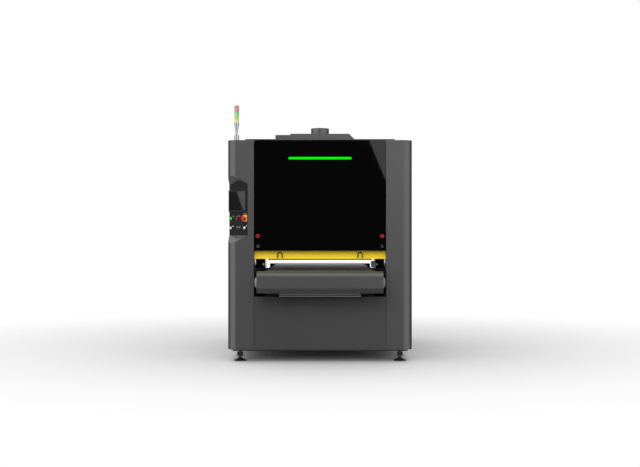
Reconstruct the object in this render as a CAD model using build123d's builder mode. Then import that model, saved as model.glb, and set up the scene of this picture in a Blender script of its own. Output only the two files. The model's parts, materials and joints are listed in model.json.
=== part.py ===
"""Through-feed deburring machine with a one metre working width.

The part stands on its levelling feet at Z = 0, with +Z up and the infeed end facing -Y. The origin is on the
floor under the middle of the machine. All sizes are in millimetres.
"""

import os
from math import sqrt

from build123d import *

os.makedirs("parts", exist_ok=True)

# Enclosure
body_depth = 2100
column_width = 258
column_depth = 420
cover_bottom = 122
cover_top = 2157
sheet = 3
seam = 3
corner_radius = 90
panel_lip = 40

# Control recess in the left front column
notch_leg = 200
recess_bottom = 1233
recess_height = 500
recess_slope = 0.75
recess_rim = 14
panel_plate = 4
panel_margin = 5

# Roof, dust hood and outlet
roof_overlap = 87
roof_gap = 10
roof_height = 15
skirt_height = 60
hood_height = 130
hood_top_half = 307
hood_front = -300
hood_rear = 600
hood_flange = 20
outlet_radius = 100
outlet_wall = 3
outlet_y = 200
outlet_height = 109
outlet_flange = 14
service_box_x = (-520, -220)
service_box_inset = 150
service_box_depth = 220
service_box_height = 226
service_box_round = 6

# Base, posts and levelling feet
base_bottom = 100
base_height = 80
base_inset_x = 43
base_inset_y = 80
side_tube_width = 120
end_tube_width = 100
tube_wall = 5
post_gap = 4
post_depth = 90
post_inset = 245
post_wall = 6
post_spacer = 12
spacer_z = (400, 1500)
spacer_height = 100
frame_top = 2060
top_beam_height = 100
foot_inset_x = 72
foot_inset_y = 50
foot_pad_radius = 60
foot_pad_edge = 8
foot_neck_radius = 14
foot_neck_z = (32, 40)
foot_stud_radius = 12
foot_nut_size = 58
foot_nut_z = (46, 88)

# Pass line and conveyor table
pass_line = 893
belt_width = 1024
belt_thickness = 3.7
belt_side_gap = 21
roller_gap = 0.3
roller_radius = 115
roller_overhang = 10
roller_side_gap = 15
roller_wall = 10
roller_shaft = 30
shaft_inset = 5
shaft_clearance = 0.08
table_plate = 12
table_plate_margin = 50
table_plate_drop = 8
table_plate_height = 195
table_plate_corner = 40
table_plate_slot = (300, 80)
table_plate_slot_y = 300
bed_thickness = 10
bed_end_gap = 130
cross_beam = 80
cross_beam_y = 600
strap_y = 500
strap_width = 60
strap_thickness = 10
tray_half_width = 427
tray_half_length = 750
tray_height = 23
return_gap = 12
bearing_size = 120
bearing_thickness = 58
flange_plate = 18
flange_corner = 16
boss_margin = 12

# Nose covers
nose_clearance = 21
nose_side_gap = 36
nose_drop = 17
nose_height = 199
nose_gap = 3
nose_radius = 38
nose_taper = (20, 48)
nose_bend = 4
nose_tab = (20, 90)

# Table lift
lift_travel = 85
least_gap = 10
jack_offset = 40
jack_y = 600
jack_size = 110
jack_corner = 14
jack_height = 120
jack_boss_radius = 38
jack_boss_height = 28
screw_radius = 20
screw_engagement = 15
lift_bracket_depth = 90
lift_bracket_height = 50
guard_width = 60
guard_z = (225, 265)
lift_motor_radius = 45
lift_motor_length = 190

# Edge sensor at the infeed, on a bracket on the right table plate
sensor_width = 40
sensor_inset = 130
sensor_depth = 60
sensor_rise = 22
sensor_height = 63
sensor_bracket = 3
sensor_foot = 70
sensor_lens_radius = 9
sensor_lens_depth = 3

# Grinding heads
head_plate = 20
head_plate_rise = 12
head_plate_hole_gap = 5
head_side_gap = 19
abrasive_margin = 10
contact_radius = 90
contact_shaft = 30
contact_y = -380
tension_radius = 60
tension_shaft = 20
belt_centres = 720
abrasive_thickness = 1.5
brush_core = 60
brush_radius = 120
brush_flaps = 40
flap_blade = 4
brush_y = 300
brush_shaft = 30
pressure_radius = 35
pressure_core = 28
pressure_shaft = 12
pressure_inset = 80
pressure_rings = 9
ring_share = 0.72
head_wall = 8
head_flange = 110
small_flange = 60
flange_thickness = 40
pulley_offset = 23
pulley_width = 40
pulley_radius = 70
pulley_groove = 10
belt_section = 9
motor_y = 20
motor_z = 1480
motor_radius = 110
motor_x = (110, 470)
motor_shaft = 19
motor_shelf = 12
motor_foot_half = 88
motor_foot_rise = 45
fin_count = 24
fin_height = 12
fin_thickness = 5
fin_margin = 24
gear_unit = (160, 220)
gear_unit_round = 15
gear_unit_depth = 101
gear_motor_radius = 75
gear_motor_length = 170

# Front door
door_thickness = 40
door_skin = 6
door_sheet = 2
door_rib = 20
door_rib_x = 213
door_axis_inset = 20
hinge_block = 40
hinge_pin_radius = 8
light_length = 622
light_height = 33
light_drop = 176
light_gap = 0.2
fitting_inset = 38
stop_rise = 139
lock_rise = 42
collar_wall = 6
collar_round = 1
stop_collar = 8
stop_stem = 11
stop_head = 20
stop_head_y = (16, 30)
stop_round = 5
lock_plug = 12
lock_collar = 4
lock_slot_width = 5
lock_slot_depth = 2
lock_cam_width = 18
lock_cam_thickness = 4
lock_cam_overlap = 13
lock_cam_gap = 1
button_gap = 0.3

# Safety flap
entry_lip = 15
flap_height = 87
flap_overlap = 5
flap_gap = 2
flap_rod_offset = 10
flap_rod_radius = 5
flap_eye_wall = 3
flap_hem = 18
handle_x = 391
handle_width = 47
handle_rise = (13, 63)
handle_rod = 5
handle_stand_off = 14
handle_bend = 8
handle_flat = 1

# Side doors
side_door_thickness = 30
latch_inset = 67
latch_z = 1050
latch_pocket = (60, 160)
latch_depth = 18
latch_round = 15
latch_lever = (48, 68)
latch_lever_rise = 40
latch_lever_round = 6
hinge_z = (350, 1110, 1870)
barrel_radius = 8
barrel_length = 60
barrel_pin = 5
leaf_width = 40
leaf = 3

# Operator devices on the control recess
screen_margin = 5.4
screen_height = 213
screen_rise = 337
screen_round = 6
bezel_depth = 14
bezel_border = (12, 15)
glass = 1.5
glass_recess = 2
screen_body = (220, 170)
screen_body_depth = 40
upper_row_rise = 166
lower_row_rise = 71
device_margin = 32.4
halt_t = -18
button_radius = 12
button_height = 9
button_round = 2
collar_height = 6
panel_stop_head = 23
panel_stop_stem = 11
panel_stop_z = (18, 34)
selector_height = 10
selector_grip = (21, 8)
selector_grip_height = 12
selector_taper = 4
device_depth = 12

# Signal tower
tower_inset = (81, 120)
tower_radius = 23
tower_base_height = 61
tower_waist_height = 20
tower_waist_radius = 11
tower_pole_height = 182
lens_radius = 22.5
lens_height = 52.5
lens_gap = 1
lens_round = 2
tower_cap = 8

# Widths that follow from the driving dimensions, from the belt outwards
table_plate_inner = belt_width / 2 + belt_side_gap
table_plate_outer = table_plate_inner + table_plate
bearing_outer = table_plate_outer + bearing_thickness
nose_half_width = bearing_outer + sheet
opening_half = nose_half_width + nose_side_gap
half_width = opening_half + column_width
post_inner = table_plate_outer + post_gap
head_plate_inner = post_inner - head_plate
head_half = head_plate_inner - head_side_gap
abrasive_half = head_half - abrasive_margin
roller_half = table_plate_inner - roller_side_gap
door_half = opening_half - seam
fitting_x = door_half - fitting_inset
roof_half_width = opening_half + roof_overlap
base_half_width = half_width - base_inset_x
side_tube_inner = base_half_width - side_tube_width
foot_x = base_half_width - foot_inset_x
jack_x = table_plate_outer + jack_offset
bearing_face = post_inner + flange_thickness
pulley_x = (bearing_face + pulley_offset, bearing_face + pulley_offset + pulley_width)
groove_middle = (pulley_x[0] + pulley_x[1]) / 2
hinge_axis_x = half_width + barrel_radius
tower_x = tower_inset[0] - half_width

# Depths that follow
front_y = -body_depth / 2
rear_y = body_depth / 2
roller_y = rear_y + roller_overhang
base_half_depth = rear_y - base_inset_y
foot_y = base_half_depth - foot_inset_y
post_y = rear_y - post_inset
post_near = post_y - post_depth / 2
post_far = post_y + post_depth / 2
pressure_y = post_near - pressure_inset
column_end = rear_y - column_depth
side_door_half = column_end - seam
hinge_axis_y = side_door_half + seam / 2
door_back = front_y + door_thickness
door_axis_y = front_y + door_axis_inset
roof_front = door_back + roof_gap
flap_front = door_back + flap_gap
flap_rod_y = flap_front + flap_rod_offset
lock_cam_front = flap_rod_y + flap_rod_radius + lock_cam_gap
lock_cam_back = lock_cam_front + lock_cam_thickness
tower_y = front_y + tower_inset[1]
sensor_front = front_y + sensor_inset
sensor_y = (sensor_front, sensor_front + sensor_depth)
service_box_rear = rear_y - service_box_inset
service_box_y = (service_box_rear - service_box_depth, service_box_rear)

# Heights that follow
base_top = base_bottom + base_height
belt_inner_radius = roller_radius + roller_gap
belt_outer_radius = belt_inner_radius + belt_thickness
roller_z = pass_line - belt_outer_radius
bed_top = pass_line - belt_thickness
table_plate_top = pass_line - table_plate_drop
table_plate_bottom = table_plate_top - table_plate_height
tray_top = roller_z - belt_outer_radius - return_gap
strap_top = tray_top - tray_height
strap_bottom = strap_top - strap_thickness
nose_top = pass_line - nose_drop
nose_bottom = nose_top - nose_height
nose_front = roller_y + belt_outer_radius + nose_clearance
screw_bottom = base_top + screw_engagement - lift_travel
head_bottom = pass_line + lift_travel + least_gap
head_plate_z = (head_bottom + head_plate_rise, frame_top - top_beam_height)
contact_z = head_bottom + abrasive_thickness + roller_gap + contact_radius
tension_z = contact_z + belt_centres
brush_z = head_bottom + brush_radius
pressure_z = head_bottom + pressure_radius
motor_shelf_top = motor_z - motor_radius - fin_height
flap_bottom = head_bottom + entry_lip
flap_rod_z = flap_bottom + flap_height
door_bottom = flap_rod_z - flap_overlap
door_axis_z = cover_top - door_axis_inset
stop_z = door_bottom + stop_rise
lock_z = door_bottom + lock_rise
lock_cam_length = lock_z - flap_rod_z + lock_cam_overlap
light_z = cover_top - light_drop
roof_top = cover_top + roof_height
hood_top = roof_top + hood_height
recess_top = recess_bottom + recess_height
recess_middle = recess_bottom + recess_height / 2
lens_bottom = cover_top + tower_pole_height

# Control panel sizes that follow
recess_width = notch_leg * sqrt(2)
panel_width = recess_width - 2 * panel_margin
screen_width = panel_width - 2 * screen_margin
screen_z = recess_bottom + screen_rise
upper_row = recess_bottom + upper_row_rise
lower_row = recess_bottom + lower_row_rise
device_t = panel_width / 2 - device_margin

on_base = (Align.CENTER, Align.CENTER, Align.MIN)


def save(piece, name):
    """Labels a finished sub-part and writes it."""
    piece.part.label = name
    export_step(piece.part, f"parts/{name}.step")


def save_group(pieces, name):
    """Writes several separate solids as one node."""
    group = Compound([solid for piece in pieces for solid in piece.part.solids()])
    group.label = name
    export_step(group, f"parts/{name}.step")


def facing(y):
    """Upright work plane at depth y: local x is X, local y is Z, and it extrudes towards the front."""
    return Plane.XZ.offset(-y)


def across(x):
    """Upright work plane at width x: local x is Y, local y is Z, and it extrudes to the right."""
    return Plane.YZ.offset(x)


def block(x, y, z, mode=Mode.ADD):
    """A box from its two limits along each axis."""
    with Locations(((x[0] + x[1]) / 2, (y[0] + y[1]) / 2, (z[0] + z[1]) / 2)):
        Box(abs(x[1] - x[0]), abs(y[1] - y[0]), abs(z[1] - z[0]), mode=mode)


def rod(centre, x, radius, mode=Mode.ADD):
    """A cylinder along X at centre (y, z), from x[0] to x[1]."""
    with Locations((x[0], *centre)):
        Cylinder(radius, x[1] - x[0], rotation=(0, 90, 0), align=on_base, mode=mode)


def stand(x, y, z, radius, mode=Mode.ADD):
    """A cylinder along Z from z[0] to z[1]."""
    with Locations((x, y, z[0])):
        Cylinder(radius, z[1] - z[0], align=on_base, mode=mode)


def turned(points, x, y):
    """A solid turned about a vertical axis from its (radius, z) outline."""
    with BuildSketch(facing(y)) as outline:
        with BuildLine():
            Polyline(*[(x + radius, z) for radius, z in points], close=True)
        make_face()
    revolve(outline.sketch, axis=Axis((x, y, 0), (0, 0, 1)))


def tube(x, y, z, along, wall):
    """A rectangular steel tube whose hollow runs along the named axis."""
    limits = {"x": x, "y": y, "z": z}
    hollow = {
        name: limit if name == along else (limit[0] + wall, limit[1] - wall)
        for name, limit in limits.items()
    }
    with BuildPart() as piece:
        block(x, y, z)
        block(hollow["x"], hollow["y"], hollow["z"], mode=Mode.SUBTRACT)
    return piece


def mirrored(piece, plane):
    """The same piece on the other side of a plane."""
    with BuildPart() as other:
        mirror(piece.part, about=plane)
    return other


def both_sides(piece):
    """A piece and its twin on the other side of the machine's middle."""
    return [piece, mirrored(piece, Plane.YZ)]


def both_ends(piece):
    """A piece and its twin at the other end of the machine."""
    return [piece, mirrored(piece, Plane.XZ)]


def four_corners(piece):
    """A piece and its three twins at the other corners of the machine."""
    return [twin for end in both_ends(piece) for twin in both_sides(end)]


# Base frame, posts and top beams
def base_tubes():
    """Welded floor frame: capped side tubes, end tubes, and tubes under the posts and the rear legs."""
    level = (base_bottom, base_top)
    end_inner = base_half_depth - end_tube_width
    length = (-base_half_depth, base_half_depth)
    side = tube((side_tube_inner, base_half_width), length, level, "y", tube_wall)
    end = tube((-side_tube_inner, side_tube_inner), (-base_half_depth, -end_inner), level, "x", tube_wall)
    inner = tube((post_inner, opening_half), (-end_inner, end_inner), level, "y", tube_wall)
    link = tube((opening_half, side_tube_inner), (post_near, post_far), level, "x", tube_wall)
    with BuildPart() as cap:
        block(
            (side_tube_inner + tube_wall, base_half_width - tube_wall),
            (base_half_depth - tube_wall, base_half_depth),
            (base_bottom + tube_wall, base_top - tube_wall),
        )
    with BuildPart() as bored:
        add(inner.part)
        for y in (-jack_y, jack_y):
            stand(jack_x, y, level, screw_radius + seam, mode=Mode.SUBTRACT)
    return both_sides(side) + four_corners(cap) + both_ends(end) + both_sides(bored) + both_sides(link)


def capped_post(x, y, z):
    """An upright tube with a plate welded into each end."""
    pieces = [tube(x, y, z, "z", post_wall)]
    for low in (z[0], z[1] - post_wall):
        with BuildPart() as plate:
            block(
                (x[0] + post_wall, x[1] - post_wall),
                (y[0] + post_wall, y[1] - post_wall),
                (low, low + post_wall),
            )
        pieces.append(plate)
    return pieces


def posts_and_beams():
    """Front posts, rear legs inside the columns with short posts beside them, and a ring of top beams."""
    front, rear = (-post_far, -post_near), (post_near, post_far)
    post_face = opening_half - post_spacer
    beam_x = (post_inner, opening_half)
    beam_z = (frame_top - top_beam_height, frame_top)
    uprights = capped_post((post_inner, post_face), front, (base_top, frame_top))
    uprights += capped_post(beam_x, rear, (head_plate_z[0], frame_top))
    uprights += capped_post((opening_half + sheet, side_tube_inner), rear, (base_top, frame_top))
    for z in spacer_z:
        with BuildPart() as spacer:
            block((post_face, opening_half), front, (z, z + spacer_height))
        uprights.append(spacer)
    long_beam = tube(beam_x, (-post_near, post_near), beam_z, "y", post_wall)
    end_beam = tube((-post_inner, post_inner), front, beam_z, "x", post_wall)
    return [twin for piece in uprights + [long_beam] for twin in both_sides(piece)] + both_ends(end_beam)


save_group(base_tubes(), "base_frame")
save_group(posts_and_beams(), "main_frame")


# Levelling feet
def levelling_foot():
    """Pad with its swivel neck, a threaded stud and a lock nut, at the front right corner."""
    neck_low, neck_top = foot_neck_z
    with BuildPart() as pad:
        turned(
            [
                (0, 0),
                (foot_pad_radius, 0),
                (foot_pad_radius, foot_pad_edge),
                (foot_neck_radius + foot_pad_edge, neck_low - foot_pad_edge),
                (foot_neck_radius, neck_low),
                (foot_neck_radius, neck_top),
                (0, neck_top),
            ],
            foot_x,
            -foot_y,
        )
    with BuildPart() as stud:
        stand(foot_x, -foot_y, (neck_top, base_bottom), foot_stud_radius)
    with BuildPart() as nut:
        with BuildSketch(Plane.XY.offset(foot_nut_z[0])):
            with Locations((foot_x, -foot_y)):
                RegularPolygon(foot_nut_size / 2, 6)
                Circle(foot_stud_radius, mode=Mode.SUBTRACT)
        extrude(amount=foot_nut_z[1] - foot_nut_z[0])
    return [pad, stud, nut]


save_group([twin for piece in levelling_foot() for twin in four_corners(piece)], "levelling_feet")


# Cabinet columns
def column_outline(inset):
    """Footprint of the right front column, drawn in by inset and rounded at its outer front corner."""
    with BuildSketch(Plane.XY.offset(cover_bottom)) as footprint:
        with Locations((opening_half + inset, front_y + inset)):
            Rectangle(column_width - 2 * inset, column_depth - inset, align=(Align.MIN, Align.MIN))
        outer_corner = footprint.vertices().group_by(Axis.Y)[0].sort_by(Axis.X)[-1]
        fillet(outer_corner, corner_radius - inset)
    return footprint.sketch


def recess_profile(grow):
    """Upright section of the control recess, grown all round: a flat back between two slopes."""
    centre = (half_width - notch_leg / 2, front_y + notch_leg / 2, 0)
    reach = notch_leg / sqrt(2)
    rise = reach * recess_slope
    with BuildSketch(Plane(centre, x_dir=(1, -1, 0), z_dir=(-1, -1, 0))) as profile:
        with BuildLine():
            Polyline(
                (0, recess_bottom),
                (0, recess_top),
                (reach, recess_top + rise),
                (reach, recess_bottom - rise),
                close=True,
            )
        make_face()
        if grow:
            offset(amount=grow, kind=Kind.INTERSECTION, mode=Mode.REPLACE)
    return profile.sketch


def column(recessed):
    """Right front column: a sheet shell with a top, open at the back and underneath."""
    height = cover_top - cover_bottom
    sweep_width = 2 * notch_leg
    with BuildPart() as cavity:
        extrude(column_outline(sheet), amount=height - sheet)
        if recessed:
            extrude(recess_profile(sheet), amount=sweep_width, both=True, mode=Mode.SUBTRACT)
    with BuildPart() as shell:
        extrude(column_outline(0), amount=height)
        if recessed:
            extrude(recess_profile(0), amount=sweep_width, both=True, mode=Mode.SUBTRACT)
        add(cavity.part, mode=Mode.SUBTRACT)
        inner_wall = (opening_half, opening_half + sheet)
        over_post = (cover_bottom, cover_top - sheet)
        over_base = (cover_bottom, base_top + seam)
        block(inner_wall, (-post_near, -column_end), over_post, mode=Mode.SUBTRACT)
        block(inner_wall, (-base_half_depth - seam, -column_end), over_base, mode=Mode.SUBTRACT)
        if recessed:
            centre = (half_width - notch_leg / 2, front_y + notch_leg / 2, recess_middle)
            with BuildSketch(Plane(centre, x_dir=(1, 1, 0), z_dir=(1, -1, 0))):
                Rectangle(recess_width - 2 * recess_rim, recess_height - 2 * recess_rim)
            extrude(amount=-2 * sheet, mode=Mode.SUBTRACT)
    return shell


plain_column = column(recessed=False)
save(mirrored(column(recessed=True), Plane.YZ), "left_front_column")
save(plain_column, "right_front_column")
save_group(both_sides(mirrored(plain_column, Plane.XZ)), "rear_columns")


# Lower panels and rear panel
def end_panels():
    """Front and rear lower panels with their flanges, and the fixed upper panel at the rear."""
    lower_top = nose_bottom - panel_lip
    width = (-door_half, door_half)
    with BuildPart() as lower:
        block(width, (front_y, front_y + sheet), (cover_bottom, lower_top))
        block(width, (front_y, -base_half_depth), (cover_bottom, cover_bottom + sheet))
        block(width, (front_y, front_y + panel_lip), (lower_top - sheet, lower_top))
    with BuildPart() as upper:
        block(width, (rear_y - sheet, rear_y), (flap_bottom, roof_top))
        block(width, (rear_y - panel_lip, rear_y), (flap_bottom, flap_bottom + sheet))
        for side in (-1, 1):
            edge = (side * door_half, side * (door_half - sheet))
            block(edge, (rear_y - panel_lip, rear_y), (flap_bottom, cover_top))
    return both_ends(lower) + [upper]


save_group(end_panels(), "end_panels")


# Roof, hood and dust outlet
def roof_panels():
    """Raised roof pan, open under the hood, and a cover with a skirt over each side."""
    roof_rear = rear_y - sheet
    with BuildPart() as roof:
        block((-roof_half_width, roof_half_width), (roof_front, roof_rear), (cover_top, roof_top))
        block(
            (-roof_half_width + sheet, roof_half_width - sheet),
            (roof_front + sheet, roof_rear - sheet),
            (cover_top, roof_top - sheet),
            mode=Mode.SUBTRACT,
        )
        block(
            (-hood_top_half, hood_top_half),
            (hood_front + hood_flange, hood_rear - hood_flange),
            (cover_top, roof_top),
            mode=Mode.SUBTRACT,
        )
    with BuildPart() as side_cover:
        block((opening_half, half_width), (-column_end, column_end), (cover_top - sheet, cover_top))
        skirt = (cover_top - skirt_height, cover_top)
        block((half_width - sheet, half_width), (-column_end, column_end), skirt)
    return [roof] + both_sides(side_cover)


def hood_form(inset):
    """The hood's block with 45 degree ends, drawn in by inset all round but at its foot."""
    height = hood_height - inset
    width = 2 * (hood_top_half + hood_height - inset * sqrt(2))
    with BuildSketch(facing(hood_rear - inset)) as section:
        with Locations((0, roof_top)):
            Trapezoid(width, height, 45, align=(Align.CENTER, Align.MIN))
    with BuildPart() as form:
        extrude(section.sketch, amount=hood_rear - hood_front - 2 * inset)
    return form


save_group(roof_panels(), "roof_panels")

with BuildPart() as dust_hood:
    add(hood_form(0).part)
    add(hood_form(sheet).part, mode=Mode.SUBTRACT)
    foot_half = hood_top_half + hood_height
    for y in (hood_front - hood_flange, hood_rear):
        block((-foot_half, foot_half), (y, y + hood_flange), (roof_top, roof_top + sheet))
    stand(0, outlet_y, (roof_top + sheet, hood_top), outlet_radius - outlet_wall, mode=Mode.SUBTRACT)
save(dust_hood, "dust_hood")

with BuildPart() as dust_outlet:
    outlet_top = hood_top + outlet_height
    turned(
        [
            (outlet_radius - outlet_wall, hood_top),
            (outlet_radius + outlet_flange, hood_top),
            (outlet_radius + outlet_flange, hood_top + sheet),
            (outlet_radius, hood_top + sheet),
            (outlet_radius, outlet_top),
            (outlet_radius - outlet_wall, outlet_top),
        ],
        0,
        outlet_y,
    )
save(dust_outlet, "dust_outlet")

with BuildPart() as service_box:
    box_top = roof_top + service_box_height
    block(service_box_x, service_box_y, (roof_top, box_top))
    fillet(service_box.edges().filter_by(Axis.Z), service_box_round)
    block(
        (service_box_x[0] + sheet, service_box_x[1] - sheet),
        (service_box_y[0] + sheet, service_box_y[1] - sheet),
        (roof_top, box_top - sheet),
        mode=Mode.SUBTRACT,
    )
save(service_box, "service_box")


# Signal tower
with BuildPart() as tower_pole:
    base_end = cover_top + tower_base_height
    waist_end = base_end + tower_waist_height
    turned(
        [
            (0, cover_top),
            (tower_radius, cover_top),
            (tower_radius, base_end),
            (tower_waist_radius, base_end + lens_gap),
            (tower_waist_radius, waist_end),
            (tower_radius, lens_bottom - 2 * tower_cap),
            (tower_radius, lens_bottom),
            (0, lens_bottom),
        ],
        tower_x,
        tower_y,
    )
save(tower_pole, "tower_pole")


def tower_lens(level, cap):
    """One coloured ring of the tower, standing on the one below; the last also has the cap."""
    low = lens_bottom + level * (lens_height + lens_gap)
    high = low + lens_height
    rim = lens_radius - lens_round
    outline = [(0, low), (lens_radius, low), (lens_radius, high), (rim, high), (rim, high + lens_gap)]
    if cap:
        outline += [(lens_radius, high + lens_gap), (lens_radius, high + cap - lens_round), (rim, high + cap)]
    with BuildPart() as lens:
        turned(outline + [(0, outline[-1][1])], tower_x, tower_y)
    return lens


for level, colour in enumerate(("yellow", "green", "red")):
    save(tower_lens(level, tower_cap if colour == "red" else 0), f"{colour}_lens")


# Control recess: panel plate, screen and devices
panel_centre = (notch_leg / 2 - half_width, front_y + notch_leg / 2, 0)
panel = Plane(panel_centre, x_dir=(1, -1, 0), z_dir=(-1, -1, 0))
panel_axis = Axis(panel_centre, (-1, -1, 0))
push_places = ((-device_t, upper_row), (halt_t, upper_row))
stop_place = (device_t, upper_row)
selector_places = ((-device_t, lower_row), (device_t, lower_row))


def on_panel(place, low, high, radius, mode=Mode.ADD):
    """A round piece square to the control panel, from low to high above the recess wall."""
    with BuildSketch(panel.offset(low)) as disc:
        with Locations(place):
            Circle(radius)
    extrude(disc.sketch, amount=high - low, mode=mode)


with BuildPart() as control_panel:
    with BuildSketch(panel):
        with Locations((0, recess_middle)):
            Rectangle(panel_width, recess_height - seam)
        with Locations((0, screen_z)):
            Rectangle(screen_body[0] + seam, screen_body[1] + seam, mode=Mode.SUBTRACT)
        with Locations(*push_places, *selector_places):
            Circle(button_radius + button_gap, mode=Mode.SUBTRACT)
        with Locations(stop_place):
            Circle(panel_stop_stem + button_gap, mode=Mode.SUBTRACT)
    extrude(amount=panel_plate)
save(control_panel, "control_panel")

glass_seat = panel_plate + bezel_depth - glass_recess
glass_width = screen_width - 2 * bezel_border[0]
glass_height = screen_height - 2 * bezel_border[1]

with BuildPart() as screen_housing:
    with BuildSketch(panel.offset(panel_plate)):
        with Locations((0, screen_z)):
            RectangleRounded(screen_width, screen_height, screen_round)
    extrude(amount=bezel_depth)
    with BuildSketch(panel.offset(panel_plate - screen_body_depth)):
        with Locations((0, screen_z)):
            Rectangle(*screen_body)
    extrude(amount=screen_body_depth)
    with BuildSketch(panel.offset(glass_seat)):
        with Locations((0, screen_z)):
            Rectangle(glass_width, glass_height)
    extrude(amount=glass_recess, mode=Mode.SUBTRACT)
save(screen_housing, "screen_housing")

with BuildPart() as screen_glass:
    with BuildSketch(panel.offset(glass_seat)):
        with Locations((0, screen_z)):
            Rectangle(glass_width - 2 * button_gap, glass_height - 2 * button_gap)
    extrude(amount=glass)
save(screen_glass, "screen_glass")


def panel_collar(place, bore):
    """Collar of an operator device, seated on the panel plate."""
    top = panel_plate + collar_height
    with BuildPart() as collar:
        on_panel(place, panel_plate, top, bore + button_gap + collar_wall)
        on_panel(place, panel_plate, top, bore + button_gap, mode=Mode.SUBTRACT)
    return collar


def push_button(place):
    """Push button with a rounded face, guided in its collar."""
    with BuildPart() as button:
        on_panel(place, -device_depth, panel_plate + button_height, button_radius)
        fillet(button.faces().sort_by(panel_axis)[-1].edges(), button_round)
    return button


def selector(place):
    """Rotary selector with a raised grip across its face."""
    face = panel_plate + selector_height
    with BuildPart() as knob:
        on_panel(place, -device_depth, face, button_radius)
        with BuildSketch(panel.offset(face)):
            with Locations(place):
                SlotOverall(*selector_grip, rotation=90)
        extrude(amount=selector_grip_height, taper=selector_taper)
    return knob


collars = [panel_collar(place, button_radius) for place in push_places + selector_places]
collars.append(panel_collar(stop_place, panel_stop_stem))
save_group(collars, "panel_collars")
for name, place in zip(("start_button", "halt_button"), push_places):
    save(push_button(place), name)
for name, place in zip(("left_selector", "right_selector"), selector_places):
    save(selector(place), name)

with BuildPart() as panel_stop_button:
    head_low, head_high = (panel_plate + level for level in panel_stop_z)
    on_panel(stop_place, -device_depth, head_low, panel_stop_stem)
    on_panel(stop_place, head_low, head_high, panel_stop_head)
    fillet(panel_stop_button.faces().sort_by(panel_axis)[-1].edges(), stop_round)
save(panel_stop_button, "panel_stop_button")


# Front door
def door_outline():
    """Rectangle of the front door with the holes for the fittings at its lower corners."""
    with Locations((0, (door_bottom + cover_top) / 2)):
        Rectangle(2 * door_half, cover_top - door_bottom)
    with Locations((-fitting_x, stop_z), (fitting_x, stop_z)):
        Circle(stop_stem + button_gap, mode=Mode.SUBTRACT)
    with Locations((-fitting_x, lock_z), (fitting_x, lock_z)):
        Circle(lock_plug + button_gap, mode=Mode.SUBTRACT)


with BuildPart() as door_panel:
    with BuildSketch(facing(front_y + door_skin)):
        door_outline()
        with Locations((0, light_z)):
            SlotOverall(light_length, light_height, mode=Mode.SUBTRACT)
    extrude(amount=door_skin)
save(door_panel, "door_panel")

with BuildPart() as light_strip:
    with BuildSketch(facing(front_y + door_skin)):
        with Locations((0, light_z)):
            SlotOverall(light_length - 2 * light_gap, light_height - 2 * light_gap)
    extrude(amount=door_skin)
save(light_strip, "light_strip")

with BuildPart() as door_frame:
    with BuildSketch(facing(front_y + door_skin + door_sheet)):
        door_outline()
    extrude(amount=door_sheet)
    rim_y = (front_y + door_skin, door_back)
    rib_y = (front_y + door_skin, front_y + door_skin + door_rib)
    for side in (-1, 1):
        corner = sorted((side * door_half, side * (door_half - hinge_block)))
        block((side * door_half, side * (door_half - sheet)), rim_y, (door_bottom, cover_top))
        block((side * door_rib_x, side * (door_rib_x + sheet)), rib_y, (door_bottom, cover_top))
        block(corner, rim_y, (cover_top - hinge_block, cover_top))
        rod((door_axis_y, door_axis_z), corner, hinge_pin_radius + shaft_clearance, mode=Mode.SUBTRACT)
    block((-door_half, door_half), rim_y, (door_bottom, door_bottom + sheet))
    block((-door_half, door_half), rim_y, (cover_top - sheet, cover_top))
save(door_frame, "door_frame")


def fitting_collar(z, bore, height):
    """Ring round a door fitting, seated on the front of the door, on the right."""
    with BuildPart() as ring:
        with BuildSketch(facing(front_y)):
            with Locations((fitting_x, z)):
                Circle(bore + button_gap + collar_wall)
                Circle(bore + button_gap, mode=Mode.SUBTRACT)
        extrude(amount=height)
        fillet(ring.faces().sort_by(Axis.Y)[0].edges(), collar_round)
    return ring


def entry_stop():
    """Mushroom stop button of the right lower door corner."""
    stem_y = front_y + door_thickness / 2
    with BuildPart() as button:
        with BuildSketch(facing(stem_y)):
            with Locations((fitting_x, stop_z)):
                Circle(stop_stem)
        extrude(amount=stem_y - front_y + stop_head_y[0])
        with BuildSketch(facing(front_y - stop_head_y[0])):
            with Locations((fitting_x, stop_z)):
                Circle(stop_head)
        extrude(amount=stop_head_y[1] - stop_head_y[0])
        fillet(button.faces().sort_by(Axis.Y)[0].edges(), stop_round)
    return button


def door_lock():
    """Quarter-turn lock of the right corner: a slotted plug with its cam behind the door."""
    plug_front = front_y - lock_collar
    with BuildPart() as lock:
        with BuildSketch(facing(lock_cam_back)):
            with Locations((fitting_x, lock_z)):
                Circle(lock_plug)
        extrude(amount=lock_cam_back - plug_front)
        with BuildSketch(facing(plug_front + lock_slot_depth)):
            with Locations((fitting_x, lock_z)):
                Rectangle(2 * lock_plug, lock_slot_width)
        extrude(amount=lock_slot_depth, mode=Mode.SUBTRACT)
        with BuildSketch(facing(lock_cam_back)):
            with Locations((fitting_x, lock_z)):
                Rectangle(lock_cam_length, lock_cam_width, align=(Align.MAX, Align.CENTER))
        extrude(amount=lock_cam_thickness)
    return lock


rings = [fitting_collar(stop_z, stop_stem, stop_collar), fitting_collar(lock_z, lock_plug, lock_collar)]
save_group([twin for ring in rings for twin in both_sides(ring)], "door_collars")
for side, piece in zip(("right", "left"), both_sides(entry_stop())):
    save(piece, f"{side}_entry_stop")
for side, piece in zip(("right", "left"), both_sides(door_lock())):
    save(piece, f"{side}_door_lock")

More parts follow.
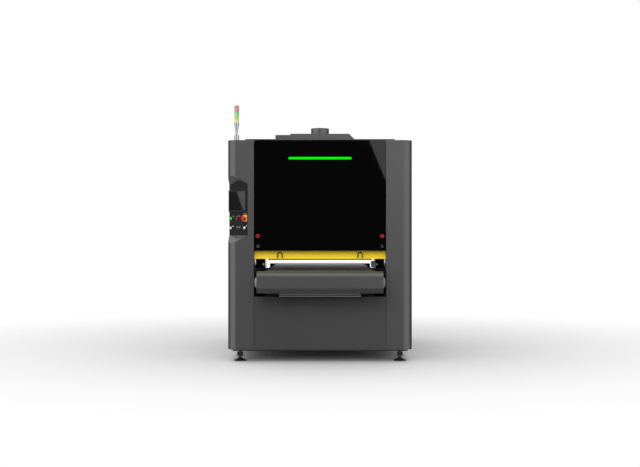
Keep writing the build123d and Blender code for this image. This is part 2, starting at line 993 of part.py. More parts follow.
# Safety flap with its handles
with BuildPart() as safety_flap:
    flap_width = (-door_half, door_half)
    flap_axis = (flap_rod_y, flap_rod_z)
    flap_bore = flap_rod_radius + shaft_clearance
    eye_radius = flap_bore + flap_eye_wall
    cam_room = (fitting_x - lock_cam_length - seam, fitting_x + lock_plug + seam)
    block(flap_width, (flap_front, flap_front + sheet), (flap_bottom, flap_rod_z))
    block(flap_width, (flap_front, flap_front + flap_hem), (flap_bottom, flap_bottom + sheet))
    rod(flap_axis, flap_width, eye_radius)
    rod(flap_axis, flap_width, flap_bore, mode=Mode.SUBTRACT)
    for side in (-1, 1):
        block(
            (side * cam_room[0], side * cam_room[1]),
            (flap_front + sheet, flap_rod_y + eye_radius),
            (flap_rod_z - eye_radius, flap_rod_z + eye_radius),
            mode=Mode.SUBTRACT,
        )
save(safety_flap, "safety_flap")


def flap_handle():
    """Bent rod handle of the right side: an arch that stands off the flap on two turned-in ends."""
    far = flap_front - handle_stand_off
    low, high = flap_bottom + handle_rise[0], flap_bottom + handle_rise[1]
    left, right = handle_x - handle_width / 2, handle_x + handle_width / 2
    arch = (handle_width - handle_flat) / 2
    with BuildPart() as handle:
        with BuildLine() as path:
            FilletPolyline(
                (left, flap_front, low),
                (left, far, low),
                (left, far, high),
                (right, far, high),
                (right, far, low),
                (right, flap_front, low),
                radius=[handle_bend, arch, arch, handle_bend],
            )
        with BuildSketch(Plane((left, flap_front, low), z_dir=(0, -1, 0))):
            Circle(handle_rod)
        sweep(path=path.line)
    return handle


save_group(both_sides(flap_handle()), "flap_handles")


# Side doors with their lift-off hinges
def hinge_half(z, moving):
    """One half of a lift-off hinge on the right side: leaf and barrel, with the pin on the fixed half."""
    low = z if moving else z - barrel_length
    high = low + barrel_length
    side = -1 if moving else 1
    leaf_start = hinge_axis_y + side * seam / 2
    block((half_width, half_width + leaf), (leaf_start, leaf_start + side * leaf_width), (low, high))
    block((half_width, hinge_axis_x), (hinge_axis_y, leaf_start), (low, high))
    stand(hinge_axis_x, hinge_axis_y, (low, high), barrel_radius)
    if moving:
        stand(hinge_axis_x, hinge_axis_y, (low, high), barrel_pin + shaft_clearance, mode=Mode.SUBTRACT)
    else:
        stand(hinge_axis_x, hinge_axis_y, (high, high + barrel_length - seam), barrel_pin)


def side_door():
    """Right side door: a folded pan with a latch pocket and the moving hinge halves."""
    low, high = cover_bottom + seam, cover_top - skirt_height - seam
    inner_x = half_width - side_door_thickness
    latch_y = latch_inset - side_door_half
    wide, tall = latch_pocket
    with BuildPart() as door:
        block((inner_x, half_width), (-side_door_half, side_door_half), (low, high))
        block(
            (inner_x, half_width - door_sheet),
            (-side_door_half + sheet, side_door_half - sheet),
            (low + sheet, high - sheet),
            mode=Mode.SUBTRACT,
        )
        for grow, mode in ((door_sheet, Mode.ADD), (0, Mode.SUBTRACT)):
            with BuildSketch(across(half_width)):
                with Locations((latch_y, latch_z)):
                    RectangleRounded(wide + 2 * grow, tall + 2 * grow, latch_round)
            extrude(amount=-latch_depth - grow, mode=mode)
        with BuildSketch(across(half_width - latch_depth)):
            with Locations((latch_y, latch_z + latch_lever_rise)):
                RectangleRounded(*latch_lever, latch_lever_round)
        extrude(amount=latch_depth - door_sheet)
        for z in hinge_z:
            hinge_half(z, moving=True)
    return door


def fixed_hinges():
    """Fixed halves of the right side door's hinges."""
    halves = []
    for z in hinge_z:
        with BuildPart() as half:
            hinge_half(z, moving=False)
        halves.append(half)
    return halves


for side, piece in zip(("right", "left"), both_sides(side_door())):
    save(piece, f"{side}_side_door")

with BuildPart() as door_pivot:
    rod((door_axis_y, door_axis_z), (door_half - hinge_block + seam, opening_half), hinge_pin_radius)
with BuildPart() as flap_rod:
    rod((flap_rod_y, flap_rod_z), (-opening_half, opening_half), flap_rod_radius)
hinge_pieces = both_sides(door_pivot) + [flap_rod]
hinge_pieces += [twin for half in fixed_hinges() for twin in both_sides(half)]
save_group(hinge_pieces, "hinge_pins")


# Rollers and bearings
def roller(centre, radius, half, wall, shaft, ends):
    """Tube roller on a through shaft: end discs with four holes, all one turned and welded piece."""
    disc = 2 * wall
    with BuildPart() as piece:
        rod(centre, (-half, half), radius)
        rod(centre, (-half + disc, half - disc), radius - wall, mode=Mode.SUBTRACT)
        rod(centre, ends, shaft)
        with BuildSketch(across(-half)):
            with Locations(centre):
                with PolarLocations((radius - wall + shaft) / 2, 4):
                    Circle((radius - wall - shaft) / 4)
        extrude(amount=2 * half, mode=Mode.SUBTRACT)
    return piece


def flange_bearing(centre, inner_x, size, bore, thickness):
    """Square flange bearing with a round boss, its bore on the roller's axis."""
    with BuildPart() as bearing:
        with BuildSketch(across(inner_x)):
            with Locations(centre):
                RectangleRounded(size, size, flange_corner)
        extrude(amount=flange_plate)
        rod(centre, (inner_x, inner_x + thickness), size / 2 - boss_margin)
        rod(centre, (inner_x, inner_x + thickness), bore + shaft_clearance, mode=Mode.SUBTRACT)
    return bearing


# Conveyor table
def table_roller(y):
    """Roller at one end of the conveyor belt."""
    shaft_end = bearing_outer - shaft_inset
    ends = (-shaft_end, shaft_end)
    return roller((y, roller_z), roller_radius, roller_half, roller_wall, roller_shaft, ends)


save(table_roller(roller_y), "drive_roller")
save(table_roller(-roller_y), "idler_roller")

with BuildPart() as conveyor_belt:
    with BuildSketch(across(-belt_width / 2)):
        with Locations((0, roller_z)):
            SlotCenterToCenter(2 * roller_y, 2 * belt_outer_radius)
            SlotCenterToCenter(2 * roller_y, 2 * belt_inner_radius, mode=Mode.SUBTRACT)
    extrude(amount=belt_width)
save(conveyor_belt, "conveyor_belt")


def table_side_plate():
    """Right side plate of the table, with ears that carry the return tray's straps."""
    with BuildPart() as plate:
        with BuildSketch(across(table_plate_inner)) as outline:
            with Locations((0, (table_plate_bottom + table_plate_top) / 2)):
                Rectangle(2 * (roller_y + table_plate_margin), table_plate_height)
            fillet(outline.vertices(), table_plate_corner)
            with Locations((-strap_y, strap_bottom), (strap_y, strap_bottom)):
                ear_height = table_plate_bottom - strap_bottom
                Rectangle(strap_width, ear_height, align=(Align.CENTER, Align.MIN))
            with Locations((-roller_y, roller_z), (roller_y, roller_z)):
                Circle(roller_shaft + seam, mode=Mode.SUBTRACT)
            with Locations((-table_plate_slot_y, roller_z), (table_plate_slot_y, roller_z)):
                SlotOverall(*table_plate_slot, mode=Mode.SUBTRACT)
        extrude(amount=table_plate)
    return plate


def table_structure():
    """Side plates, slider bed, cross beams, straps with the return tray, and lift brackets."""
    inner = (-table_plate_inner, table_plate_inner)
    beam_top = bed_top - bed_thickness
    bed_end = roller_y - bed_end_gap
    with BuildPart() as bed:
        block(inner, (-bed_end, bed_end), (beam_top, bed_top))
    beam_z = (beam_top - cross_beam, beam_top)
    beams = [
        tube(inner, (y - cross_beam / 2, y + cross_beam / 2), beam_z, "x", tube_wall)
        for y in (-cross_beam_y, 0, cross_beam_y)
    ]
    with BuildPart() as strap:
        block(inner, (strap_y - strap_width / 2, strap_y + strap_width / 2), (strap_bottom, strap_top))
    with BuildPart() as tray:
        wide, long = tray_half_width, tray_half_length
        block((-wide, wide), (-long, long), (strap_top, tray_top))
        block(
            (-wide + sheet, wide - sheet),
            (-long + sheet, long - sheet),
            (strap_top + sheet, tray_top),
            mode=Mode.SUBTRACT,
        )
    with BuildPart() as bracket:
        block(
            (table_plate_outer, jack_x + jack_offset),
            (jack_y - lift_bracket_depth / 2, jack_y + lift_bracket_depth / 2),
            (table_plate_bottom, table_plate_bottom + lift_bracket_height),
        )
    return both_sides(table_side_plate()) + [bed] + beams + both_ends(strap) + [tray] + four_corners(bracket)


def belt_reach(z):
    """How far the turning belt reaches from the middle of the machine at height z."""
    return roller_y + sqrt(belt_outer_radius**2 - (z - roller_z) ** 2)


def nose_section(inset):
    """Side outline of the front nose cover: rounded above, flat in front and tapered below."""
    back, drop = nose_taper
    lip = belt_reach(nose_top - sheet - nose_gap) + nose_gap
    heel = belt_reach(nose_bottom + sheet + nose_gap) + nose_gap
    with BuildSketch(across(-nose_half_width)) as section:
        with BuildLine():
            Polyline(
                (-lip, nose_top),
                (-nose_front, nose_top),
                (-nose_front, nose_bottom + drop),
                (-nose_front + back, nose_bottom),
                (-heel, nose_bottom),
                close=True,
            )
        make_face()
        fillet(section.vertices().group_by(Axis.X)[0].sort_by(Axis.Y)[-1], nose_radius)
        fillet(section.vertices().group_by(Axis.Y)[0].sort_by(Axis.X)[0], nose_bend)
        if inset:
            offset(amount=-inset, kind=Kind.INTERSECTION, mode=Mode.REPLACE)
    return section.sketch


def nose_cover():
    """Front nose cover: a bent sheet, open at the back, with two end plates on the bearing housings."""
    open_back = (-nose_front + nose_radius, -roller_y)
    with BuildPart() as cavity:
        extrude(nose_section(sheet), amount=2 * nose_half_width)
        block((-nose_half_width, nose_half_width), open_back, (nose_bottom + sheet, nose_top - sheet))
        for side in (-1, 1):
            end_plate = (side * nose_half_width, side * bearing_outer)
            block(end_plate, (-nose_front, -roller_y), (nose_bottom, nose_top), mode=Mode.SUBTRACT)
    with BuildPart() as cover:
        extrude(nose_section(0), amount=2 * nose_half_width)
        add(cavity.part, mode=Mode.SUBTRACT)
        half_tab = bearing_size / 2
        for side in (-1, 1):
            end_plate = (side * nose_half_width, side * bearing_outer)
            tab_y = (-roller_y - nose_tab[1], -roller_y + nose_tab[0])
            block(end_plate, tab_y, (roller_z - half_tab, roller_z + half_tab))
    return cover


save_group(table_structure(), "table_frame")
save_group(both_ends(nose_cover()), "nose_covers")
table_bearing = flange_bearing(
    (-roller_y, roller_z), table_plate_outer, bearing_size, roller_shaft, bearing_thickness
)
save_group(four_corners(table_bearing), "table_bearings")

with BuildPart() as edge_sensor:
    sensor_x = (table_plate_outer - sensor_width, table_plate_outer)
    sensor_low = pass_line + sensor_rise
    sensor_high = sensor_low + sensor_height
    block(sensor_x, sensor_y, (sensor_low, sensor_high))
    fillet(edge_sensor.edges().filter_by(Axis.Z).group_by(Axis.X)[0], sheet)
    bracket_x = (table_plate_outer, table_plate_outer + sensor_bracket)
    block(bracket_x, sensor_y, (sensor_low - sensor_foot, sensor_high))
    lens_centre = ((sensor_y[0] + sensor_y[1]) / 2, sensor_high - 2 * sensor_lens_radius)
    rod(lens_centre, (sensor_x[0] - sensor_lens_depth, sensor_x[0]), sensor_lens_radius)
save(edge_sensor, "edge_sensor")


# Table lift
def jack_housing():
    """Screw jack housing at the right rear, standing on the inner base tube."""
    body_top = base_top + jack_height
    boss_top = body_top + jack_boss_height
    with BuildPart() as housing:
        with BuildSketch(Plane.XY.offset(base_top)):
            with Locations((jack_x, jack_y)):
                RectangleRounded(jack_size, jack_size, jack_corner)
        extrude(amount=jack_height)
        stand(jack_x, jack_y, (body_top, boss_top), jack_boss_radius)
        stand(jack_x, jack_y, (base_top, boss_top), screw_radius + shaft_clearance, mode=Mode.SUBTRACT)
    return housing


with BuildPart() as lift_screw:
    stand(jack_x, jack_y, (screw_bottom, table_plate_bottom), screw_radius)
save_group(four_corners(jack_housing()), "jack_housings")
save_group(four_corners(lift_screw), "lift_screws")


def lift_guards():
    """Closed channels that cover the chain between the jacks: one along each side, one across the rear."""
    between_y, between_x = jack_y - jack_size / 2, jack_x - jack_size / 2
    half = guard_width / 2
    side_guard = tube((jack_x - half, jack_x + half), (-between_y, between_y), guard_z, "y", sheet)
    rear_guard = tube((-between_x, between_x), (jack_y - half, jack_y + half), guard_z, "x", sheet)
    return both_sides(side_guard) + [rear_guard]


save_group(lift_guards(), "lift_chain_guards")


# Grinding heads
def head_plates():
    """Two side plates bolted to the posts, with holes for the shafts, and the motor shelf between them."""
    low, high = head_plate_z
    shafts = [
        (contact_y, contact_z, contact_shaft),
        (contact_y, tension_z, tension_shaft),
        (brush_y, brush_z, brush_shaft),
        (-pressure_y, pressure_z, pressure_shaft),
        (pressure_y, pressure_z, pressure_shaft),
        (motor_y, motor_z, motor_shaft),
    ]
    with BuildPart() as plate:
        with BuildSketch(across(head_plate_inner)):
            with Locations((0, (low + high) / 2)):
                Rectangle(2 * post_far, high - low)
            for y, z, radius in shafts:
                with Locations((y, z)):
                    Circle(radius + head_plate_hole_gap, mode=Mode.SUBTRACT)
        extrude(amount=head_plate)
    with BuildPart() as shelf:
        block(
            (-head_plate_inner, head_plate_inner),
            (motor_y - motor_radius, motor_y + motor_radius),
            (motor_shelf_top - motor_shelf, motor_shelf_top),
        )
    return both_sides(plate) + [shelf]


save_group(head_plates(), "head_plates")


def pulley(centre, bore):
    """Grooved belt pulley on the right end of a shaft."""
    groove = (groove_middle - belt_section, groove_middle + belt_section)
    with BuildPart() as wheel:
        rod(centre, pulley_x, pulley_radius - pulley_groove)
        rod(centre, (pulley_x[0], groove[0]), pulley_radius)
        rod(centre, (groove[1], pulley_x[1]), pulley_radius)
        rod(centre, pulley_x, bore, mode=Mode.SUBTRACT)
    return wheel


contact_axis = (contact_y, contact_z)
tension_axis = (contact_y, tension_z)
motor_axis = (motor_y, motor_z)
brush_axis = (brush_y, brush_z)
free_ends = (-bearing_face, bearing_face)
driven_ends = (-bearing_face, pulley_x[1])

contact = roller(contact_axis, contact_radius, head_half, head_wall, contact_shaft, driven_ends)
save_group([contact, pulley(contact_axis, contact_shaft)], "contact_roller")
tension = roller(tension_axis, tension_radius, head_half, head_wall, tension_shaft, free_ends)
save(tension, "tension_roller")


def belt_loop(low, high, radii):
    """Outline of a belt round two wheels, given as (y, z) centres and radii."""
    for centre, radius in zip((low, high), radii):
        with Locations(centre):
            Circle(radius)
    make_hull()


def looped_belt(x, low, high, radii, thickness):
    """A belt of the given thickness that runs round two wheels with a small gap."""
    inner = [radius + roller_gap for radius in radii]
    outer = [radius + thickness for radius in inner]
    with BuildPart() as hollow:
        with BuildSketch(across(x[0])):
            belt_loop(low, high, inner)
        extrude(amount=x[1] - x[0])
    with BuildPart() as belt:
        with BuildSketch(across(x[0])):
            belt_loop(low, high, outer)
        extrude(amount=x[1] - x[0])
        add(hollow.part, mode=Mode.SUBTRACT)
    return belt


abrasive_x = (-abrasive_half, abrasive_half)
abrasive_belt = looped_belt(
    abrasive_x, contact_axis, tension_axis, (contact_radius, tension_radius), abrasive_thickness
)
save(abrasive_belt, "abrasive_belt")

groove_radius = pulley_radius - pulley_groove
drive_belt_x = (groove_middle - belt_section + roller_gap, groove_middle + belt_section - roller_gap)
drive_belt = looped_belt(drive_belt_x, contact_axis, motor_axis, (groove_radius, groove_radius), belt_section)
save(drive_belt, "drive_belt")

with BuildPart() as rotor_shaft:
    rod(motor_axis, (motor_x[1] + roller_gap, pulley_x[1]), motor_shaft)
save_group([pulley(motor_axis, motor_shaft), rotor_shaft], "motor_pulley")

with BuildPart() as brush_roller:
    rod(brush_axis, free_ends, brush_shaft)
    with BuildSketch(across(-abrasive_half)):
        with Locations(brush_axis):
            Circle(brush_core)
            with PolarLocations((brush_core + brush_radius - flap_blade) / 2, brush_flaps):
                Rectangle(brush_radius - brush_core + flap_blade, flap_blade)
            Circle(brush_core - head_wall, mode=Mode.SUBTRACT)
    extrude(amount=2 * abrasive_half)
    for x in (-abrasive_half, abrasive_half - 2 * head_wall):
        rod(brush_axis, (x, x + 2 * head_wall), brush_core)
save(brush_roller, "brush_roller")


def pressure_roller(y):
    """Hold-down roller with rubber rings along its core."""
    pitch = 2 * head_half / pressure_rings
    ring_half = pitch * ring_share / 2
    with BuildPart() as piece:
        rod((y, pressure_z), free_ends, pressure_shaft)
        rod((y, pressure_z), (-head_half, head_half), pressure_core)
        for ring in range(pressure_rings):
            middle = (ring + 0.5) * pitch - head_half
            rod((y, pressure_z), (middle - ring_half, middle + ring_half), pressure_radius)
    return piece


save(pressure_roller(-pressure_y), "front_pressure_roller")
save(pressure_roller(pressure_y), "rear_pressure_roller")


def head_bearing_set():
    """Flange bearings on the outer faces of the head plates."""
    shafts = [
        (contact_axis, head_flange, contact_shaft),
        (tension_axis, head_flange, tension_shaft),
        (brush_axis, head_flange, brush_shaft),
        ((-pressure_y, pressure_z), small_flange, pressure_shaft),
        ((pressure_y, pressure_z), small_flange, pressure_shaft),
    ]
    bearings = []
    for centre, size, radius in shafts:
        bearings += both_sides(flange_bearing(centre, post_inner, size, radius, flange_thickness))
    return bearings


save_group(head_bearing_set(), "head_bearings")


def drive_motors():
    """Finned belt motor on its shelf, gear motor of the brush and motor of the table lift."""
    with BuildPart() as belt_motor:
        rod(motor_axis, motor_x, motor_radius)
        with BuildSketch(across(motor_x[0] + fin_margin)):
            with Locations(motor_axis):
                with PolarLocations(motor_radius, fin_count):
                    Rectangle(2 * fin_height, fin_thickness)
        extrude(amount=motor_x[1] - motor_x[0] - 2 * fin_margin)
        block(
            (motor_x[0] + fin_margin, motor_x[1] - fin_margin),
            (motor_y - motor_foot_half, motor_y + motor_foot_half),
            (motor_shelf_top, motor_shelf_top + motor_foot_rise),
        )
    gear_end = bearing_face + gear_unit_depth
    with BuildPart() as brush_motor:
        with BuildSketch(across(bearing_face)):
            with Locations(brush_axis):
                RectangleRounded(*gear_unit, gear_unit_round)
        extrude(amount=gear_unit_depth)
        rod(brush_axis, (gear_end, gear_end + gear_motor_length), gear_motor_radius)
        fillet(brush_motor.faces().sort_by(Axis.X)[-1].edges(), fin_height)
    jack_face = jack_x - jack_size / 2
    lift_z = (guard_z[0] + guard_z[1]) / 2
    with BuildPart() as lift_motor:
        rod((-jack_y, lift_z), (jack_face - lift_motor_length, jack_face), lift_motor_radius)
        fillet(lift_motor.faces().sort_by(Axis.X)[0].edges(), fin_height)
    return [belt_motor, brush_motor, lift_motor]


save_group(drive_motors(), "drive_motors")
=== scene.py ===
"""Looks of the deburring machine: materials, small fittings, studio and camera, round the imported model."""

import json
import math

import bmesh
import bpy
from mathutils import Matrix, Vector
from mathutils.geometry import interpolate_bezier


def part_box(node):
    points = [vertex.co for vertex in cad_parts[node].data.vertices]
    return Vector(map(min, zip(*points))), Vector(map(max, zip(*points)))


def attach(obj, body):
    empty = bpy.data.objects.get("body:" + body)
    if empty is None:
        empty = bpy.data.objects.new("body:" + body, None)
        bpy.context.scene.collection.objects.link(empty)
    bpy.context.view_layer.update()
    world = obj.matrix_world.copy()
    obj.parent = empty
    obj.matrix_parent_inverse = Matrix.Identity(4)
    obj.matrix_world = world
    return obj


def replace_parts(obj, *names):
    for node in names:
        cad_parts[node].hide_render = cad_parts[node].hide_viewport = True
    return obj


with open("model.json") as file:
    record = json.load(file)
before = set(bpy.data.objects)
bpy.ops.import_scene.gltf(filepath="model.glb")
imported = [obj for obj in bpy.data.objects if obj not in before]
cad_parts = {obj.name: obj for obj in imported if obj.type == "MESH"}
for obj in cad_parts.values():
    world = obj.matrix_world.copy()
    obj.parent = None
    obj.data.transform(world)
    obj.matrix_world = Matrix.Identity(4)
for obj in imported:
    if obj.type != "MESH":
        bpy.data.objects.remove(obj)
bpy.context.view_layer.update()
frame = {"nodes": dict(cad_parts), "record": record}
scene = bpy.context.scene
scene.view_settings.view_transform = "Standard"


# Node helpers
def new_material(name):
    """A node material and its main shader."""
    material = bpy.data.materials.new(name)
    material.use_nodes = True
    return material, material.node_tree, material.node_tree.nodes["Principled BSDF"]


def feed(tree, socket, value):
    """Gives a socket a link, a colour of three parts or a number."""
    if isinstance(value, bpy.types.NodeSocket):
        tree.links.new(value, socket)
    else:
        socket.default_value = (*value, 1) if isinstance(value, tuple) else value


def dress(tree, shader, sockets):
    """Feeds the named sockets of a shader."""
    for name, value in sockets.items():
        feed(tree, shader.inputs[name], value)


def place(tree, stretch=(1, 1, 1)):
    """Position on the part in metres, stretched for a texture."""
    coords = tree.nodes.new("ShaderNodeTexCoord")
    mapping = tree.nodes.new("ShaderNodeMapping")
    mapping.inputs["Scale"].default_value = stretch
    tree.links.new(coords.outputs["Object"], mapping.inputs["Vector"])
    return mapping.outputs["Vector"]


def noise(tree, scale, detail=2.0, stretch=(1, 1, 1)):
    """Noise over the part, with scale in waves per metre."""
    texture = tree.nodes.new("ShaderNodeTexNoise")
    texture.inputs["Scale"].default_value = scale
    texture.inputs["Detail"].default_value = detail
    tree.links.new(place(tree, stretch), texture.inputs["Vector"])
    return texture.outputs["Fac"]


def cells(tree, scale):
    """Rounded grains over the part, with scale in grains per metre."""
    texture = tree.nodes.new("ShaderNodeTexVoronoi")
    texture.inputs["Scale"].default_value = scale
    tree.links.new(place(tree), texture.inputs["Vector"])
    return texture.outputs["Distance"]


def spread(tree, factor, low, high, start=0.3, end=0.7):
    """A factor between start and end mapped to the range from low to high."""
    node = tree.nodes.new("ShaderNodeMapRange")
    node.interpolation_type = "SMOOTHSTEP"
    node.inputs["From Min"].default_value = start
    node.inputs["From Max"].default_value = end
    node.inputs["To Min"].default_value = low
    node.inputs["To Max"].default_value = high
    tree.links.new(factor, node.inputs["Value"])
    return node.outputs["Result"]


def blend(tree, factor, low, high):
    """Colour between two colours."""
    node = tree.nodes.new("ShaderNodeMix")
    node.data_type = "RGBA"
    dress(tree, node, {"Factor": factor, "A": low, "B": high})
    return node.outputs["Result"]


def bump(tree, shader, height, depth):
    """Raises the surface by height times depth, in metres."""
    node = tree.nodes.new("ShaderNodeBump")
    node.inputs["Distance"].default_value = depth
    tree.links.new(height, node.inputs["Height"])
    tree.links.new(node.outputs["Normal"], shader.inputs["Normal"])


def calc(tree, operation, *values):
    """One arithmetic step on sockets or numbers."""
    node = tree.nodes.new("ShaderNodeMath")
    node.operation = operation
    for socket, value in zip(node.inputs, values):
        feed(tree, socket, value)
    return node.outputs["Value"]


def split(tree, vector):
    """The three parts of a vector."""
    node = tree.nodes.new("ShaderNodeSeparateXYZ")
    tree.links.new(vector, node.inputs["Vector"])
    return node.outputs.values()


def reach(tree, first, second):
    """Length of a way with two square parts."""
    squares = [calc(tree, "MULTIPLY", part, part) for part in (first, second)]
    return calc(tree, "SQRT", calc(tree, "ADD", *squares))


def mix(tree, factor, first, second):
    """Shader between two shaders."""
    node = tree.nodes.new("ShaderNodeMixShader")
    for socket, source in zip(node.inputs, (factor, first, second)):
        tree.links.new(source, socket)
    return node.outputs["Shader"]


def shade(colour, share):
    """A colour made lighter or darker."""
    return tuple(min(1, part * share) for part in colour)


# Materials
def paint(name, colour, roughness, grain=900, depth=0.00002, uneven=0.03, specular=0.5):
    """Powder coat: fine grain, with slow changes of tone and gloss."""
    material, tree, shader = new_material(name)
    tone = blend(tree, noise(tree, scale=3.5, detail=3), shade(colour, 1 - uneven), shade(colour, 1 + uneven))
    gloss = spread(tree, noise(tree, scale=40, detail=4), low=roughness * 0.9, high=roughness * 1.12)
    dress(tree, shader, {"Base Color": tone, "Roughness": gloss, "Specular IOR Level": specular})
    bump(tree, shader, noise(tree, grain), depth)
    return material


def metal(name, colour, roughness, stretch=(60, 900, 900), depth=0.00002):
    """Bare metal with fine tool marks along one direction."""
    material, tree, shader = new_material(name)
    marks = noise(tree, scale=1, detail=3, stretch=stretch)
    tone = blend(tree, marks, shade(colour, 0.88), shade(colour, 1.08))
    gloss = spread(tree, marks, low=roughness * 0.8, high=roughness * 1.25)
    dress(tree, shader, {"Base Color": tone, "Roughness": gloss, "Metallic": 1})
    bump(tree, shader, marks, depth)
    return material


def plastic(name, colour, roughness, grain=1400, depth=0.00003, specular=0.5):
    """Moulded plastic with a faint grain."""
    material, tree, shader = new_material(name)
    tone = blend(tree, noise(tree, scale=30), shade(colour, 0.94), shade(colour, 1.05))
    gloss = spread(tree, noise(tree, scale=120, detail=3), low=roughness * 0.85, high=roughness * 1.2)
    dress(tree, shader, {"Base Color": tone, "Roughness": gloss, "Specular IOR Level": specular})
    bump(tree, shader, noise(tree, grain), depth)
    return material


BODY_GREY = (0.0685, 0.0685, 0.069)
BLACK = (0.004, 0.004, 0.0043)
PAINTED_REFLECTION_OLIVE = (0.055, 0.060, 0.006)
GREEN_LIGHT = (0, 1, 0)

PAINTS = {
    "body_paint": dict(colour=BODY_GREY, roughness=0.2),
    # Lighter and darker copies of the body paint: painted light on the roof hood, service box and noses,
    # painted shade on the lower end panels
    "light_grey": dict(colour=shade(BODY_GREY, 1.15), roughness=0.2),
    "nose_grey": dict(colour=shade(BODY_GREY, 1.04), roughness=0.2),
    "panel_grey": dict(colour=shade(BODY_GREY, 0.86), roughness=0.2),
    "outlet_steel": dict(colour=(0.070, 0.070, 0.0715), roughness=0.2),
    "base_grey": dict(colour=(0.020, 0.020, 0.0205), roughness=0.5),
    "black_paint": dict(colour=BLACK, roughness=0.5, specular=0.2),
    "matt_black": dict(colour=BLACK, roughness=0.65, specular=0.06),
    "panel_dark": dict(colour=(0.005, 0.005, 0.0053), roughness=0.5, specular=0.25),
    "foot_black": dict(colour=(0.008, 0.008, 0.008), roughness=0.5),
    "yellow_paint": dict(colour=(0.96, 0.69, 0.020), roughness=0.38, specular=0.25),
    "plate_yellow": dict(colour=(0.70, 0.42, 0.025), roughness=0.4, specular=0.25),
    "motor_paint": dict(colour=(0.055, 0.075, 0.105), roughness=0.4),
    "seal_grey": dict(colour=(0.15, 0.15, 0.152), roughness=0.45),
    "casting": dict(colour=(0.15, 0.155, 0.165), roughness=0.55, grain=500, depth=0.00015),
    # Pale grey of the bearing caps: partly their cast finish, partly painted light for the bright patch
    # beside the nose
    "cap_grey": dict(colour=(0.26, 0.262, 0.266), roughness=0.4, grain=300, uneven=0.1),
    "zinc": dict(colour=(0.48, 0.49, 0.50), roughness=0.4, grain=300, uneven=0.12),
}
METALS = {
    "steel": dict(colour=(0.55, 0.56, 0.58), roughness=0.3),
    "pole_chrome": dict(colour=(0.42, 0.425, 0.43), roughness=0.08, stretch=(300, 300, 300), depth=0.000004),
}
PLASTICS = {
    "red_plastic": dict(colour=(0.29, 0.009, 0.010), roughness=0.3, specular=0.2),
    "stop_red": dict(colour=(0.68, 0.012, 0.012), roughness=0.3, specular=0.25),
    "mark_red": dict(colour=(0.10, 0.003, 0.004), roughness=0.4),
    "light_plastic": dict(colour=(0.70, 0.71, 0.72), roughness=0.4),
    "legend_grey": dict(colour=(0.15, 0.15, 0.152), roughness=0.45),
    "bezel_black": dict(colour=(0.016, 0.016, 0.017), roughness=0.45),
    # Darker than the bezel black: partly the housing's own black, partly painted shade on its sides
    "housing_black": dict(colour=(0.007, 0.007, 0.0075), roughness=0.5, specular=0.3),
    "rubber_black": dict(colour=(0.004, 0.004, 0.0042), roughness=0.8, specular=0.05),
    # Olive of the infeed strips: a painted reflection of the yellow bar on the nose's top
    "olive_plastic": dict(colour=(0.076, 0.072, 0.052), roughness=0.6, specular=0.1),
    "sensor_plastic": dict(colour=(0.115, 0.118, 0.15), roughness=0.45),
    "lens_red": dict(colour=(0.55, 0.18, 0.18), roughness=0.2),
    "lens_green": dict(colour=(0.175, 0.545, 0.175), roughness=0.2),
    "lens_yellow": dict(colour=(0.52, 0.52, 0.18), roughness=0.2),
}

looks = {}
for make, finishes in ((paint, PAINTS), (metal, METALS), (plastic, PLASTICS)):
    for name, values in finishes.items():
        looks[name] = make(name, **values)


def polished_door():
    """Deep black polished skin of the front door, with faint wiping marks in its gloss."""
    material, tree, shader = new_material("door_black")
    tone = blend(tree, noise(tree, scale=2, detail=3), (0.0007, 0.0007, 0.0008), (0.0013, 0.0013, 0.0014))
    marks = noise(tree, scale=6, detail=4, stretch=(0.5, 1, 3))
    dress(tree, shader, {"Base Color": tone, "Roughness": spread(tree, marks, low=0.010, high=0.022)})
    return material


# Shares of the light strip's half height between which its light fades out
GLOW_FADE = (0.6, 0.8)

# Distances from the belt's rim between which its rubber gives way to the olive edge, a painted yellowish
# reflection
BELT_EDGE = (0.014, 0.012)


def lit_strip():
    """Green diffuser of the light strip: even light along its middle, dark towards its rim."""
    material, tree, shader = new_material("light_green")
    low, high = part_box("light_strip")
    half = (high.z - low.z) / 2
    x, _, z = split(tree, place(tree))
    beyond = calc(tree, "MAXIMUM", calc(tree, "SUBTRACT", calc(tree, "ABSOLUTE", x), high.x - half), 0.0)
    rise = calc(tree, "SUBTRACT", z, (low.z + high.z) / 2)
    start, end = (half * share for share in GLOW_FADE)
    glow = spread(tree, reach(tree, beyond, rise), low=1.0, high=0.0, start=start, end=end)
    dress(tree, shader, {"Base Color": (0, 0.02, 0), "Specular IOR Level": 0})
    dress(tree, shader, {"Emission Color": GREEN_LIGHT, "Emission Strength": glow})
    return material


def lit_button():
    """Green push button lit from inside, with slightly uneven light."""
    material, tree, shader = new_material("green_plastic")
    tone = blend(tree, noise(tree, scale=60), (0.0, 0.05, 0.0), (0.0, 0.08, 0.0))
    glow = spread(tree, noise(tree, scale=90), low=0.88, high=1.0)
    dress(tree, shader, {"Base Color": tone, "Roughness": 0.3, "Specular IOR Level": 0.1})
    dress(tree, shader, {"Emission Color": GREEN_LIGHT, "Emission Strength": glow})
    return material


def dark_glass():
    """Switched-off touch screen."""
    material, tree, shader = new_material("screen_glass")
    tone = blend(tree, noise(tree, scale=5), (0.0055, 0.0055, 0.006), (0.0075, 0.0075, 0.008))
    gloss = spread(tree, noise(tree, scale=30, detail=4), low=0.01, high=0.025)
    dress(tree, shader, {"Base Color": tone, "Roughness": gloss})
    return material


